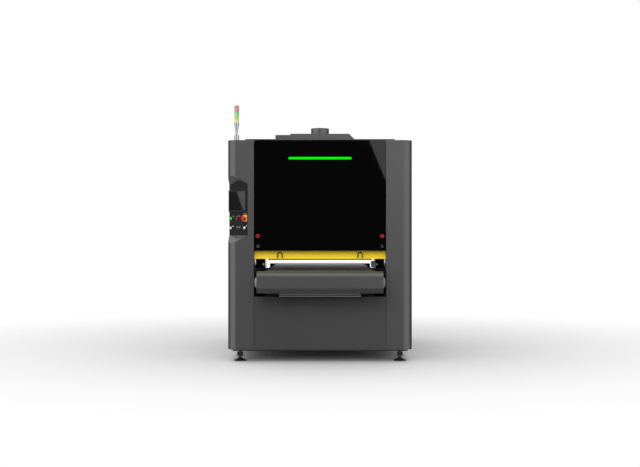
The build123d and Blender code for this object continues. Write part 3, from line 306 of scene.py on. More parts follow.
def belt_cloth():
    """Rubber belt with a fine grip pattern and olive edges that are a painted yellowish reflection."""
    material, tree, shader = new_material("belt_rubber")
    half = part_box("conveyor_belt")[1].x
    from_middle = calc(tree, "ABSOLUTE", split(tree, place(tree))[0])
    start, end = (half - inset for inset in BELT_EDGE)
    edge = spread(tree, from_middle, low=0, high=1, start=start, end=end)
    rubber = blend(tree, noise(tree, scale=60, detail=4), (0.028, 0.028, 0.0285), (0.031, 0.031, 0.0315))
    gloss = spread(tree, noise(tree, scale=200, detail=3), low=0.345, high=0.355)
    # The olive blend towards the rims is a painted reflection
    dress(tree, shader, {"Base Color": blend(tree, edge, rubber, PAINTED_REFLECTION_OLIVE), "Roughness": gloss})
    bump(tree, shader, cells(tree, scale=320), depth=0.00001)
    return material


def roller_rings(centre_y, centre_z, rubber_start):
    """Rubber rings on a steel core, told apart by their distance from the roller's axis."""
    material, tree, shader = new_material("roller_rubber")
    _, y, z = split(tree, place(tree))
    away = reach(tree, calc(tree, "SUBTRACT", y, centre_y), calc(tree, "SUBTRACT", z, centre_z))
    rubber = calc(tree, "GREATER_THAN", away, rubber_start)
    steel = calc(tree, "SUBTRACT", 1.0, rubber)
    tone = blend(tree, rubber, (0.5, 0.51, 0.53), (0.012, 0.012, 0.012))
    gloss = spread(tree, rubber, low=0.3, high=0.7, start=0, end=1)
    dress(tree, shader, {"Base Color": tone, "Metallic": steel, "Roughness": gloss})
    bump(tree, shader, noise(tree, scale=700), depth=0.00008)
    return material


def abrasive():
    """Coated abrasive: reddish grains in a dark bond."""
    material, tree, shader = new_material("abrasive_cloth")
    grains = cells(tree, scale=900)
    tone = blend(tree, grains, (0.30, 0.10, 0.05), (0.10, 0.03, 0.018))
    dress(tree, shader, {"Base Color": tone, "Roughness": 0.85})
    bump(tree, shader, grains, depth=0.0004)
    return material


looks["door_black"] = polished_door()
looks["light_green"] = lit_strip()
looks["green_plastic"] = lit_button()
looks["screen_glass"] = dark_glass()
looks["belt_rubber"] = belt_cloth()
looks["abrasive_cloth"] = abrasive()

# Nodes whose look differs from that of their slot; the lighter and darker greys among them are painted light
# and painted shade
OWN_LOOKS = {
    "base_frame": "base_grey",
    "end_panels": "panel_grey",
    "dust_hood": "light_grey",
    "service_box": "light_grey",
    "nose_covers": "nose_grey",
    "screen_housing": "housing_black",
    "tower_pole": "pole_chrome",
    "panel_collars": "bezel_black",
    "door_collars": "rubber_black",
    "table_frame": "matt_black",
    "main_frame": "matt_black",
    "panel_stop_button": "stop_red",
    "right_door_lock": "rubber_black",
    "left_door_lock": "rubber_black",
}

# Distance from the axis of a roller at which its rubber starts
RUBBER_START = {
    "front_pressure_roller": 0.0315,
    "rear_pressure_roller": 0.0315,
    "idler_roller": 0.034,
    "drive_roller": 0.034,
}

for entry in frame["record"]["subparts"]:
    node, slot = entry["node"], entry["material_slot"]
    if node in RUBBER_START:
        low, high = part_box(node)
        centre = (low + high) / 2
        look = roller_rings(centre.y, centre.z, RUBBER_START[node])
    else:
        look = looks[OWN_LOOKS.get(node, slot)]
    for material_slot in frame["nodes"][node].material_slots:
        material_slot.material = look


# Surfaces and places on them
def surface(origin, across, up):
    """A frame on a surface: first axis across it, second up it, third straight out of it."""
    across, up = Vector(across).normalized(), Vector(up).normalized()
    return Matrix.Translation(origin) @ Matrix((across, up, across.cross(up))).transposed().to_4x4()


def on(face, across, up, out=0.0):
    """A spot on a surface."""
    return face @ Matrix.Translation((across, up, out))


RECESS_LEG = 0.2
column_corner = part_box("left_front_column")[0]
recess_x, recess_y = column_corner.x + RECESS_LEG / 2, column_corner.y + RECESS_LEG / 2
PANEL = surface((recess_x, recess_y, 0), (1, -1, 0), (0, 0, 1))
FRONT = surface((0, 0, 0), (1, 0, 0), (0, 0, 1))
REAR = surface((0, 0, 0), (-1, 0, 0), (0, 0, 1))
RIGHT = surface((0, 0, 0), (0, 1, 0), (0, 0, 1))
LEFT = surface((0, 0, 0), (0, -1, 0), (0, 0, 1))
TOP = Matrix.Identity(4)


def spans(node, face):
    """Least and greatest place of a node along each of a surface's own axes."""
    points = [face.inverted() @ vertex.co for vertex in frame["nodes"][node].data.vertices]
    return [(min(p[axis] for p in points), max(p[axis] for p in points)) for axis in range(3)]


def middle(node, face):
    """Middle of a node and its outermost level, seen along a surface's own axes."""
    across, up, out = spans(node, face)
    return (sum(across) / 2, sum(up) / 2, out[1])


def inner_face(node):
    """How near to the machine's middle plane the two halves of a node come."""
    return min(abs(vertex.co.x) for vertex in frame["nodes"][node].data.vertices)


# Outlines
def circle(radius, sides):
    """Corners of a regular outline."""
    angles = (math.tau * step / sides for step in range(sides))
    return [(radius * math.cos(angle), radius * math.sin(angle)) for angle in angles]


def rounded(size, radius, steps=5):
    """A rectangle with round corners."""
    outline = []
    for corner, signs in enumerate(((1, 1), (-1, 1), (-1, -1), (1, -1))):
        u, v = (sign * (length / 2 - radius) for sign, length in zip(signs, size))
        for step in range(steps + 1):
            angle = math.pi / 2 * (corner + step / steps)
            outline.append((u + radius * math.cos(angle), v + radius * math.sin(angle)))
    return outline


def ring(inner, outer, low, high, inner_break=(0, 0), outer_break=(0, 0)):
    """Closed profile of a ring whose upper edges may be broken."""
    points = [
        (inner, low),
        (inner, high - inner_break[1]),
        (inner + inner_break[0], high),
        (outer - outer_break[0], high),
        (outer, high - outer_break[1]),
        (outer, low),
    ]
    points = list(dict.fromkeys(points))
    return points + points[:1]


def scaled(outline, size):
    """An outline given in shares of a size."""
    return [(size * u, size * v) for u, v in outline]


def turn_arrow(radius, width, start, sweep, body=0.72, barb=0.8, steps=8):
    """A curved arrow round a button's middle."""
    inner, outer = radius - width / 2, radius + width / 2
    head = start + sweep * body
    angles = [start + sweep * body * step / steps for step in range(steps + 1)]
    polar = [(outer, angle) for angle in angles]
    polar += [(outer + width * barb, head), (radius, start + sweep), (inner - width * barb, head)]
    polar += [(inner, angle) for angle in reversed(angles)]
    return [(away * math.cos(angle), away * math.sin(angle)) for away, angle in polar]


# Mesh helpers
def join(shape, low, high):
    """Faces between two rings, either of which may be a single point."""
    for step in range(max(len(low), len(high))):
        lower, upper = ([line[corner % len(line)] for corner in (step, step + 1)] for line in (low, high))
        shape.faces.new(tuple(dict.fromkeys(lower + upper[::-1])))


def lathe(shape, spot, profile, sides=20):
    """Turns a profile of (radius, height) about the line that stands on a spot."""
    closed = profile[0] == profile[-1]
    rings = []
    for radius, height in profile[:-1] if closed else profile:
        points = circle(radius, sides if radius > 0 else 1)
        rings.append([shape.verts.new(spot @ Vector((*point, height))) for point in points])
    if closed:
        rings.append(rings[0])
    for low, high in zip(rings, rings[1:]):
        join(shape, low, high)


def prism(shape, spot, outline, low, high, edge=0.0003):
    """Raises a closed outline from low to high and breaks its top edge."""
    foot = [shape.verts.new(spot @ Vector((u, v, low))) for u, v in outline]
    rim = [shape.verts.new(spot @ Vector((u, v, high - edge))) for u, v in outline]
    join(shape, foot, rim)
    shape.faces.new(foot[::-1])
    cap = shape.faces.new(rim)
    cap.normal_update()
    bmesh.ops.inset_individual(shape, faces=[cap], thickness=edge, depth=edge)


def holed_plate(shape, spot, outline, hole, thickness, edge=0.0003):
    """A plate with a round hole in its middle and broken edges."""
    rays = [Vector(point) for point in outline]
    outside = [[ray * (1 - cut / ray.length) for ray in rays] for cut in (0, 0, edge)]
    inside = [[ray.normalized() * (hole + cut) for ray in rays] for cut in (edge, 0, 0)]
    levels = (0, thickness - edge, thickness)
    rings = []
    for points, height in zip(outside + inside, levels + levels[::-1]):
        rings.append([shape.verts.new(spot @ Vector((*point, height))) for point in points])
    for low, high in zip(rings, rings[1:] + rings[:1]):
        join(shape, low, high)


def bar(shape, path, radius, sides=14, tip=0.75):
    """A round bar along a path, with broken edges at both ends."""
    side = (path[1] - path[0]).orthogonal()
    last = len(path) - 1
    rings = []
    for step, point in enumerate(path):
        along = (path[min(step + 1, last)] - path[max(step - 1, 0)]).normalized()
        side = (side - along * side.dot(along)).normalized()
        other = along.cross(side)
        points = circle(radius * (tip if step in (0, last) else 1), sides)
        rings.append([shape.verts.new(point + u * side + v * other) for u, v in points])
    for low, high in zip(rings, rings[1:]):
        join(shape, low, high)
    shape.faces.new(rings[0][::-1])
    shape.faces.new(rings[-1])


BOLT_FLANGE = ((0, 0), (0.68, 0), (0.68, 0.1), (0.6528, 0.14), (0, 0.14))
BOLT_HEAD = (0.14, 0.62)
BOLT_EDGE = 0.07
SCREW_PROFILE = (
    (0, 0), (1, 0), (1, 0.18), (0.93, 0.36), (0.74, 0.5), (0.44, 0.56), (0.4, 0.5), (0.38, 0.2), (0, 0.14)
)
SCREW_SIDES = 16


def hex_bolt(shape, spot, across):
    """Hexagon head on a round washer."""
    lathe(shape, spot, scaled(BOLT_FLANGE, across))
    low, high = (across * share for share in BOLT_HEAD)
    prism(shape, spot, circle(across / math.sqrt(3), 6), low, high, across * BOLT_EDGE)


def button_screw(shape, spot, radius=0.006):
    """Round screw head with a socket."""
    lathe(shape, spot, scaled(SCREW_PROFILE, radius), SCREW_SIDES)


def louvre(shape, spot, width=0.34, height=0.034, proud=0.007, ramp=0.0272, columns=22, rows=7):
    """Pressed hood, flush at its top and standing proud at its lower lip, with a ramp at each end."""
    places = [(column / columns - 0.5) * width for column in range(columns + 1)]
    ends = [math.sin(math.pi / 2 * min(1.0, (width / 2 - abs(across)) / ramp)) for across in places]
    grid = []
    for row in range(rows + 1):
        share = row / rows
        swell = proud * math.sin(math.pi / 2 * share)
        points = [Vector((across, height * (0.5 - share), swell * end)) for across, end in zip(places, ends)]
        grid.append([shape.verts.new(spot @ point) for point in points])
    lip = grid[-1]
    under = [shape.verts.new(spot @ Vector((across, -height / 2, 0))) for across in places[1:-1]]
    under = [lip[0]] + under + [lip[-1]]
    for upper, lower in zip(grid, grid[1:] + [under]):
        for column in range(columns):
            corners = (upper[column], lower[column], lower[column + 1], upper[column + 1])
            shape.faces.new(tuple(dict.fromkeys(corners)))
    right, left = ([line[end] for line in grid[1:-1]] for end in (-1, 0))
    shape.faces.new(grid[0] + right + under[::-1] + left[::-1])


SHARP_ANGLE = math.radians(32)


def finish_piece(name, body, slot, shape, look=None):
    """Turns a shape into an object with its finish, riding on a body."""
    bmesh.ops.recalc_face_normals(shape, faces=shape.faces)
    mesh = bpy.data.meshes.new(name)
    shape.to_mesh(mesh)
    shape.free()
    mesh.polygons.foreach_set("use_smooth", [True] * len(mesh.polygons))
    mesh.set_sharp_from_angle(angle=SHARP_ANGLE)
    mesh.materials.append(looks[look or slot])
    piece = bpy.data.objects.new(name, mesh)
    scene.collection.objects.link(piece)
    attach(piece, body)
    return piece


# Operator panel
PLATE_SIZE = (0.060, 0.064)
PLATE_ROUND = 0.007
PLATE_HOLE = 0.0178
PLATE_THICKNESS = 0.0015
STOP_COLLAR = ring(inner=0.0125, outer=0.0176, low=0, high=0.0053, outer_break=(0.0008, 0.0011))
HALT_RIM = ring(0.0126, 0.0171, -0.0003, 0.0010, inner_break=(0.0006, 0.0004), outer_break=(0.0007, 0.0007))
RIM_SIDES = 36
# Black strip round the screen housing, wider at its sides: a painted shadow of the housing on the panel
SHADOW_GASKET_MARGIN = (0.0105, 0.002)
SHADOW_GASKET_ROUND = 0.006
SHADOW_GASKET_THICKNESS = 0.0015
SHADOW_GASKET_EDGE = 0.0004

panel_face = middle("control_panel", PANEL)[2]

shape = bmesh.new()
across, up, _ = middle("panel_stop_button", PANEL)
stop_spot = on(PANEL, across, up, panel_face)
holed_plate(shape, stop_spot, rounded(PLATE_SIZE, PLATE_ROUND), PLATE_HOLE, PLATE_THICKNESS)
finish_piece("stop_legend", "frame", "yellow_paint", shape, "plate_yellow")

shape = bmesh.new()
lathe(shape, on(stop_spot, 0, 0, PLATE_THICKNESS), STOP_COLLAR, RIM_SIDES)
finish_piece("stop_collar_cover", "frame", "red_plastic", shape, "stop_red")

shape = bmesh.new()
across, up, _ = middle("halt_button", PANEL)
lathe(shape, on(PANEL, across, up, middle("panel_collars", PANEL)[2]), HALT_RIM, RIM_SIDES)
finish_piece("halt_rim", "frame", "red_plastic", shape)

# Black rubber strip round the screen housing, standing in for its shadow: painted shade
shape = bmesh.new()
across, up, _ = middle("screen_housing", PANEL)
housing = [high - low for low, high in spans("screen_housing", PANEL)]
outline = rounded([length + margin for length, margin in zip(housing, SHADOW_GASKET_MARGIN)], SHADOW_GASKET_ROUND)
prism(shape, on(PANEL, across, up, panel_face), outline, 0, SHADOW_GASKET_THICKNESS, SHADOW_GASKET_EDGE)
finish_piece("screen_shadow_gasket", "frame", "bezel_black", shape, "rubber_black")

LEGEND_ROUND = 0.0015
LEGEND_THICKNESS = 0.0008
LEGEND_EDGE = 0.0002


def legends(name, look, places):
    """Small blank plates on the panel, each set off from the middle of a device."""
    shape = bmesh.new()
    for node, shift, rise, size in places:
        across, up, _ = middle(node, PANEL)
        spot = on(PANEL, across + shift, up + rise, panel_face)
        prism(shape, spot, rounded(size, LEGEND_ROUND), 0, LEGEND_THICKNESS, LEGEND_EDGE)
    finish_piece(name, "frame", "light_plastic", shape, look)


legends("blank_legends", "legend_grey", (
    ("start_button", 0.030, 0.021, (0.020, 0.008)),
    ("halt_button", 0.030, 0.021, (0.040, 0.008)),
    ("panel_stop_button", -0.003, 0.047, (0.050, 0.007)),
))
legends("selector_legends", "zinc", (
    ("left_selector", 0.026, 0.019, (0.020, 0.008)),
    ("right_selector", 0.022, 0.019, (0.018, 0.008)),
))

# Small port between the selectors
PORT_SHIFT = 0.008
PORT_RISE = 0.008
PORT_SIZE = (0.060, 0.030)
PORT_ROUND = 0.005
PORT_EDGE = 0.0006
PORT_THICKNESS = 0.002
SOCKET_SIZE = (0.020, 0.016)
SOCKET_ROUND = 0.003
SOCKET_EDGE = 0.0005
SOCKET_TOP = 0.0034
PORT_SCREW_SHIFT = 0.019
PORT_SCREW = 0.0055

port = on(PANEL, PORT_SHIFT, middle("left_selector", PANEL)[1] + PORT_RISE, panel_face)
shape = bmesh.new()
prism(shape, port, rounded(PORT_SIZE, PORT_ROUND), 0, PORT_THICKNESS, PORT_EDGE)
prism(shape, port, rounded(SOCKET_SIZE, SOCKET_ROUND), PORT_THICKNESS, SOCKET_TOP, SOCKET_EDGE)
finish_piece("data_port", "frame", "bezel_black", shape)
shape = bmesh.new()
for side in (-1, 1):
    button_screw(shape, on(port, side * PORT_SCREW_SHIFT, 0, PORT_THICKNESS), PORT_SCREW)
finish_piece("data_port_screws", "frame", "steel", shape, "zinc")

# Turn marks on the stop buttons
ARROW_WIDTH = 0.26
ARROW_SWEEP = math.radians(96)
MARK_LEVELS = (-0.0002, 0.0004)
MARK_EDGE = 0.0001

for node, face, arc in (
    ("right_entry_stop", FRONT, 0.0095),
    ("left_entry_stop", FRONT, 0.0095),
    ("panel_stop_button", PANEL, 0.0115),
):
    spot = on(face, *middle(node, face))
    shape = bmesh.new()
    for third in range(3):
        outline = turn_arrow(arc, arc * ARROW_WIDTH, math.tau * third / 3, ARROW_SWEEP)
        prism(shape, spot, outline, *MARK_LEVELS, MARK_EDGE)
    finish_piece(f"{node}_marks", node, "red_plastic", shape, "mark_red")

# Bright rims of the door locks, whose cams reach inwards from the plug
LOCK_PLUG = 0.012
LOCK_RIM = ring(0.0109, 0.0119, -0.0002, 0.0008, inner_break=(0.0003, 0.0003), outer_break=(0.0003, 0.0003))
LOCK_RIM_SIDES = 40

for side, node in ((1, "right_door_lock"), (-1, "left_door_lock")):
    _, up, out = middle(node, FRONT)
    outermost = max(abs(edge) for edge in spans(node, FRONT)[0])
    shape = bmesh.new()
    lathe(shape, on(FRONT, side * (outermost - LOCK_PLUG), up, out), LOCK_RIM, LOCK_RIM_SIDES)
    finish_piece(f"{node}_rim", node, "steel", shape, "zinc")

# Rubber edge under the door
RUBBER_DROP = 0.002
RUBBER_BREAK = 0.001
RUBBER_INSET = 0.004

(back, front), (bottom, _), (left, right) = spans("door_panel", LEFT)
lip = [
    (back, bottom),
    (back, bottom - RUBBER_DROP + RUBBER_BREAK),
    (back + RUBBER_BREAK, bottom - RUBBER_DROP),
    (front - RUBBER_BREAK, bottom - RUBBER_DROP),
    (front, bottom - RUBBER_DROP + RUBBER_BREAK),
    (front, bottom),
]
shape = bmesh.new()
prism(shape, LEFT, lip, left + RUBBER_INSET, right - RUBBER_INSET)
finish_piece("door_edge_rubber", "front_door", "black_paint", shape, "rubber_black")

# Signal tower
LENS_BAND = 0.0525
LENS_STEP = 0.001
FLUTES = 28
FLUTE_STEPS = 4
FLUTE_DEPTH = 0.0012
FLUTE_START = (0.0035, 0.005)
FLUTE_END = (0.0465, 0.048)
CAP_ROUND = 0.004
CAP_BREAK = (0.0012, 0.0013)


def fluted_lens(node, slot):
    """Moulded lens with upright ribs between two plain rims, and a round cap where the node has one."""
    low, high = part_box(node)
    radius, cap = (high.x - low.x) / 2, high.z - low.z
    neck = radius - 2 * LENS_STEP
    rows = [
        (0, 0, 0),
        (radius, 0, 0),
        (radius, FLUTE_START[0], 0),
        (radius, FLUTE_START[1], FLUTE_DEPTH),
        (radius, FLUTE_END[0], FLUTE_DEPTH),
        (radius, FLUTE_END[1], 0),
        (radius, LENS_BAND - LENS_STEP, 0),
        (radius - LENS_STEP, LENS_BAND, 0),
        (neck, LENS_BAND, 0),
        (neck, LENS_BAND + LENS_STEP, 0),
    ]
    if cap > LENS_BAND + 2 * LENS_STEP:
        rows += [
            (radius, LENS_BAND + LENS_STEP, 0),
            (radius, cap - CAP_ROUND, 0),
            (radius - CAP_BREAK[0], cap - CAP_BREAK[1], 0),
            (radius - CAP_ROUND, cap, 0),
        ]
    rows.append((0, rows[-1][1], 0))
    sides = FLUTES * FLUTE_STEPS
    foot = Vector(((low.x + high.x) / 2, (low.y + high.y) / 2, low.z))
    shape = bmesh.new()
    rings = []
    for outer, height, depth in rows:
        points = []
        for step in range(sides if outer else 1):
            angle = math.tau * step / sides
            away = outer - depth * (0.5 - 0.5 * math.cos(FLUTES * angle))
            points.append(Vector((away * math.cos(angle), away * math.sin(angle), height)))
        rings.append([shape.verts.new(foot + point) for point in points])
    for lower, upper in zip(rings, rings[1:]):
        join(shape, lower, upper)
    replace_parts(finish_piece(f"{node}_ribbed", "frame", slot, shape), node)


for node, slot in (("yellow_lens", "lens_yellow"), ("green_lens", "lens_green"), ("red_lens", "lens_red")):
    fluted_lens(node, slot)

# Roof
SHEET = 0.003
HOOD_SCREWS = range(-4, 5)
HOOD_SCREW_STEP = 0.1
HOOD_SCREW_INSET = 0.010
ROOF_SCREWS = 14
ROOF_SCREW_X = 0.715
ROOF_SCREW_START = -0.96
ROOF_SCREW_STEP = 0.15
BOX_SCREW = 0.005
BOX_SCREW_INSET = 0.03
OUTLET_BOLTS = 8
OUTLET_BOLT = 0.008
OUTLET_BOLT_INSET = 0.007

shape = bmesh.new()
low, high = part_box("dust_hood")
for row in (low.y + HOOD_SCREW_INSET, high.y - HOOD_SCREW_INSET):
    for step in HOOD_SCREWS:
        button_screw(shape, on(TOP, HOOD_SCREW_STEP * step, row, low.z + SHEET))
roof_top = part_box("roof_panels")[1].z
for side in (-1, 1):
    for step in range(ROOF_SCREWS):
        row = ROOF_SCREW_START + ROOF_SCREW_STEP * step
        button_screw(shape, on(TOP, side * ROOF_SCREW_X, row, roof_top))
low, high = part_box("service_box")
sunk = high.z - BOX_SCREW * max(rise for _, rise in SCREW_PROFILE)
for across in (low.x + BOX_SCREW_INSET, high.x - BOX_SCREW_INSET):
    for row in (low.y + BOX_SCREW_INSET, high.y - BOX_SCREW_INSET):
        button_screw(shape, on(TOP, across, row, sunk), BOX_SCREW)
finish_piece("roof_screws", "frame", "steel", shape)

shape = bmesh.new()
low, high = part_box("dust_outlet")
centre = (low + high) / 2
bolt_circle = high.x - OUTLET_BOLT_INSET
for step in range(OUTLET_BOLTS):
    angle = math.tau * (step + 0.5) / OUTLET_BOLTS
    across, row = centre.x + bolt_circle * math.cos(angle), centre.y + bolt_circle * math.sin(angle)
    hex_bolt(shape, on(TOP, across, row, low.z + SHEET), OUTLET_BOLT)
finish_piece("outlet_bolts", "frame", "steel", shape)

# Fine ribs on the hold-down rollers
RIB_COUNT = 31
RIB_PITCH = 0.0338
RIB_WIDTH = 0.030
RIB_EDGE = 0.0015
RIB_RISE = 0.006
RIB_ROOT = 0.002
RIBS_START = -0.522
RIB_CORE = 0.0278
RIB_SIDES = 36

for node in ("front_pressure_roller", "rear_pressure_roller"):
    low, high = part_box(node)
    radius = (high.z - low.z) / 2
    root, crest = radius - RIB_ROOT, radius + RIB_RISE
    profile = [(RIB_CORE, RIBS_START)]
    for step in range(RIB_COUNT):
        start = RIBS_START + RIB_PITCH * step
        end = start + RIB_WIDTH
        profile += [(root, start), (crest, start + RIB_EDGE), (crest, end - RIB_EDGE), (root, end)]
    profile += [(RIB_CORE, end), profile[0]]
    shape = bmesh.new()
    lathe(shape, surface((low + high) / 2, (0, 1, 0), (0, 0, 1)), profile, RIB_SIDES)
    finish_piece(f"{node}_ribs", node, "roller_rubber", shape, "bezel_black")

# Rear and sides
REAR_SCREW_X = 0.615
REAR_SCREW_COLUMNS = ((1.05, 0.175, 7), (0.17, 0.21, 3))
TOP_SCREWS = range(-2, 3)
TOP_SCREW_STEP = 0.22
TOP_SCREW_LEVEL = 2.14
LOUVRE_SHIFT = 0.2
LOUVRE_PITCH = 0.052
LOUVRES_IN_COLUMN = 7
REAR_LOUVRES = 1.72
SIDE_LOUVRES = (0.30, 1.62)


def louvre_bank(shape, face, bottom, out):
    """Two columns of louvres, one on each side of a surface's middle."""
    for step in range(LOUVRES_IN_COLUMN):
        for side in (-1, 1):
            louvre(shape, on(face, side * LOUVRE_SHIFT, bottom + LOUVRE_PITCH * step, out))


rear_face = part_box("end_panels")[1].y
side_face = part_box("right_front_column")[1].x

shape = bmesh.new()
for side in (-1, 1):
    for bottom, pitch, count in REAR_SCREW_COLUMNS:
        for step in range(count):
            button_screw(shape, on(REAR, side * REAR_SCREW_X, bottom + pitch * step, rear_face))
for step in TOP_SCREWS:
    button_screw(shape, on(REAR, TOP_SCREW_STEP * step, TOP_SCREW_LEVEL, rear_face))
finish_piece("rear_panel_screws", "frame", "steel", shape)

shape = bmesh.new()
louvre_bank(shape, REAR, REAR_LOUVRES, rear_face)
finish_piece("rear_louvres", "frame", "body_paint", shape)

for body, face in (("right_side_door", RIGHT), ("left_side_door", LEFT)):
    shape = bmesh.new()
    for bottom in SIDE_LOUVRES:
        louvre_bank(shape, face, bottom, side_face)
    finish_piece(f"{body}_louvres", body, "body_paint", shape)

# Conveyor table: what its trim lies on
TABLE_PLATE = 0.012
TABLE_PLATE_DROP = 0.008

nose_low, nose_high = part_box("nose_covers")
bearing_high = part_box("table_bearings")[1]
roller_low, roller_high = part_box("drive_roller")
roller_axis = (roller_low + roller_high) / 2
belt_low, belt_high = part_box("conveyor_belt")
pass_line = belt_high.z
plate_outer = inner_face("table_bearings")
plate_inner = plate_outer - TABLE_PLATE
plate_top = pass_line - TABLE_PLATE_DROP
bearing_middle = (plate_outer + bearing_high.x) / 2

# Trim of the noses, as outlines set off from the front and the top or bottom of the cover
SEAL = [
    (-0.054, 0), (-0.040, 0), (-0.040, -0.0145), (-0.046, -0.0155),
    (-0.046, -0.024), (-0.040, -0.025), (-0.040, -0.032), (-0.054, -0.032),
]
BRUSH = [(-0.047, -0.0165), (-0.047, -0.023), (-0.043, -0.023), (-0.043, -0.0165)]
TOE = [(-0.023, 0.0080), (-0.020, 0.0055), (-0.019, -0.0046), (-0.0273, -0.0011), (-0.038, 0.0002)]
RAMP = [(-0.066, 0.0002), (-0.098, 0.0130), (-0.098, 0.0165), (-0.093, 0.0165)] + TOE
LOW_RAMP = [(-0.062, 0.0002), (-0.062, 0.0110), (-0.058, 0.0123)] + TOE
SEAL_HALF = 0.39
BRUSH_HALF = 0.385
RAMP_HALF = 0.528
STRIP_HALF = 0.605

# The olive of the infeed strips is a painted reflection of the yellow bar
for name, slot, look, level, runs in (
    ("nose_seals", "steel", "seal_grey", nose_low.z, ((SEAL, -SEAL_HALF, SEAL_HALF),)),
    ("nose_brushes", "black_paint", "black_paint", nose_low.z, ((BRUSH, -BRUSH_HALF, BRUSH_HALF),)),
    ("infeed_strips", "sensor_plastic", "olive_plastic", nose_high.z, (
        (LOW_RAMP, -STRIP_HALF, -RAMP_HALF), (RAMP, -RAMP_HALF, RAMP_HALF), (LOW_RAMP, RAMP_HALF, STRIP_HALF),
    )),
):
    shape = bmesh.new()
    for outline, start, end in runs:
        for face in (LEFT, RIGHT):
            prism(shape, on(face, nose_high.y, level), outline, start, end)
    finish_piece(name, "table", slot, shape, look)

# Scraper bars under the belt's return run
SCRAPER_DROP = 0.014
SCRAPER_INSET = 0.075
SCRAPER_HEIGHT = 0.016
SCRAPER_ROUND = 0.002
SCRAPER_THICKNESS = 0.006
SCRAPER_EDGE = 0.001
LUG_SIZE = (0.018, 0.050)
LUG_ROUND = 0.003
LUG_INSET = 0.0095
LUG_RISE = 0.031

shape = bmesh.new()
for face in (FRONT, REAR):
    spot = on(face, 0, belt_low.z - SCRAPER_DROP, roller_axis.y - SCRAPER_INSET)
    blade = rounded((2 * plate_inner, SCRAPER_HEIGHT), SCRAPER_ROUND)
    prism(shape, spot, blade, 0, SCRAPER_THICKNESS, SCRAPER_EDGE)
    for side in (-1, 1):
        lug = on(spot, side * (plate_inner - LUG_INSET), LUG_RISE)
        prism(shape, lug, rounded(LUG_SIZE, LUG_ROUND), 0, SCRAPER_THICKNESS, SCRAPER_EDGE)
finish_piece("scraper_bars", "table", "black_paint", shape)

# Flared guide bars at the infeed, each on a pad and a strap
GUIDE_RADIUS = 0.013
GUIDE_RISE = 0.0085
GUIDE_START = (0.517, -0.935)
GUIDE_CORNER = (0.600, -1.086)
GUIDE_BEND = 0.0255
GUIDE_DROP = 0.040
GUIDE_TIP = 0.003
FLARE_POINTS = 18
TURN_POINTS = 8
START_PULL = Vector((0, -0.065, 0))
CORNER_PULL = 0.038
BEND_PULL = 0.014
PAD_Y = -1.03
PAD_SIZE = (0.012, 0.040)
PAD_HEIGHT = 0.008
STRAP_Y = -1.1125
STRAP_LEVEL = 0.855
STRAP_SIZE = (0.075, 0.016)
STRAP_THICKNESS = 0.0075
MOUNT_ROUND = 0.004
MOUNT_EDGE = 0.001

shape = bmesh.new()
for side, face in ((1, RIGHT), (-1, LEFT)):
    out, up = Vector((side, 0, 0)), Vector((0, 0, 1))
    start, corner = (Vector((side * x, y, pass_line + GUIDE_RISE)) for x, y in (GUIDE_START, GUIDE_CORNER))
    bend = corner + (out - up) * GUIDE_BEND
    foot = bend - up * GUIDE_DROP
    flare = interpolate_bezier(start, start + START_PULL, corner - out * CORNER_PULL, corner, FLARE_POINTS)
    turn = interpolate_bezier(corner, corner + out * BEND_PULL, bend + up * BEND_PULL, bend, TURN_POINTS)
    lead = start + Vector((0, GUIDE_TIP, 0))
    bar(shape, [lead] + flare + turn[1:] + [foot, foot - up * GUIDE_TIP], GUIDE_RADIUS)
    pad = on(TOP, side * (plate_outer - TABLE_PLATE / 2), PAD_Y, plate_top)
    prism(shape, pad, rounded(PAD_SIZE, MOUNT_ROUND), 0, PAD_HEIGHT, MOUNT_EDGE)
    strap = on(face, side * STRAP_Y, STRAP_LEVEL, nose_high.x)
    prism(shape, strap, rounded(STRAP_SIZE, MOUNT_ROUND), 0, STRAP_THICKNESS, MOUNT_EDGE)
finish_piece("infeed_guides", "table", "black_paint", shape, "rubber_black")

# Covers, caps and bolts of the roller bearings, and bolts on the posts
COVER_INSET = 0.010
COVER_SIZE = (0.054, 0.090)
COVER_ROUND = 0.008
COVER_HEIGHT = 0.0535
COVER_EDGE = 0.004
CAP_PROFILE = (
    (0, 0), (0.056, 0), (0.056, 0.011), (0.053, 0.018),
    (0.044, 0.024), (0.030, 0.028), (0.012, 0.030), (0, 0.0303),
)
CAP_SIDES = 40
BEARING_BOLT = 0.013
BEARING_BOLT_RISE = 0.042
BEARING_BOLT_OUT = 0.045
BEARING_BOLT_IN = 0.042
POST_BOLT = 0.018
POST_BOLT_INSET = 0.012
POST_BOLT_RISE = 0.052

shape = bmesh.new()
for side in (-1, 1):
    for end in (-1, 1):
        spot = on(TOP, side * bearing_middle, end * (roller_axis.y - COVER_INSET), bearing_high.z)
        prism(shape, spot, rounded(COVER_SIZE, COVER_ROUND), 0, COVER_HEIGHT, COVER_EDGE)
finish_piece("bearing_covers", "table", "black_paint", shape, "rubber_black")

# The bolts on the posts take the pale plastic look: a painted glint on steel bolts that sit in shade
shape = bmesh.new()
post_front = -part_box("main_frame")[0].y
for side in (-1, 1):
    across = side * (inner_face("main_frame") + POST_BOLT_INSET)
    hex_bolt(shape, on(FRONT, across, pass_line + POST_BOLT_RISE, post_front), POST_BOLT)
finish_piece("post_bolts", "frame", "steel", shape, "light_plastic")

# The caps' pale grey is partly their own finish and partly painted light on the column's inner face beside
# the nose
shape = bmesh.new()
for face in (RIGHT, LEFT):
    for end in (-1, 1):
        lathe(shape, on(face, end * roller_axis.y, roller_axis.z, bearing_high.x), CAP_PROFILE, CAP_SIDES)
finish_piece("bearing_caps", "table", "casting", shape, "cap_grey")

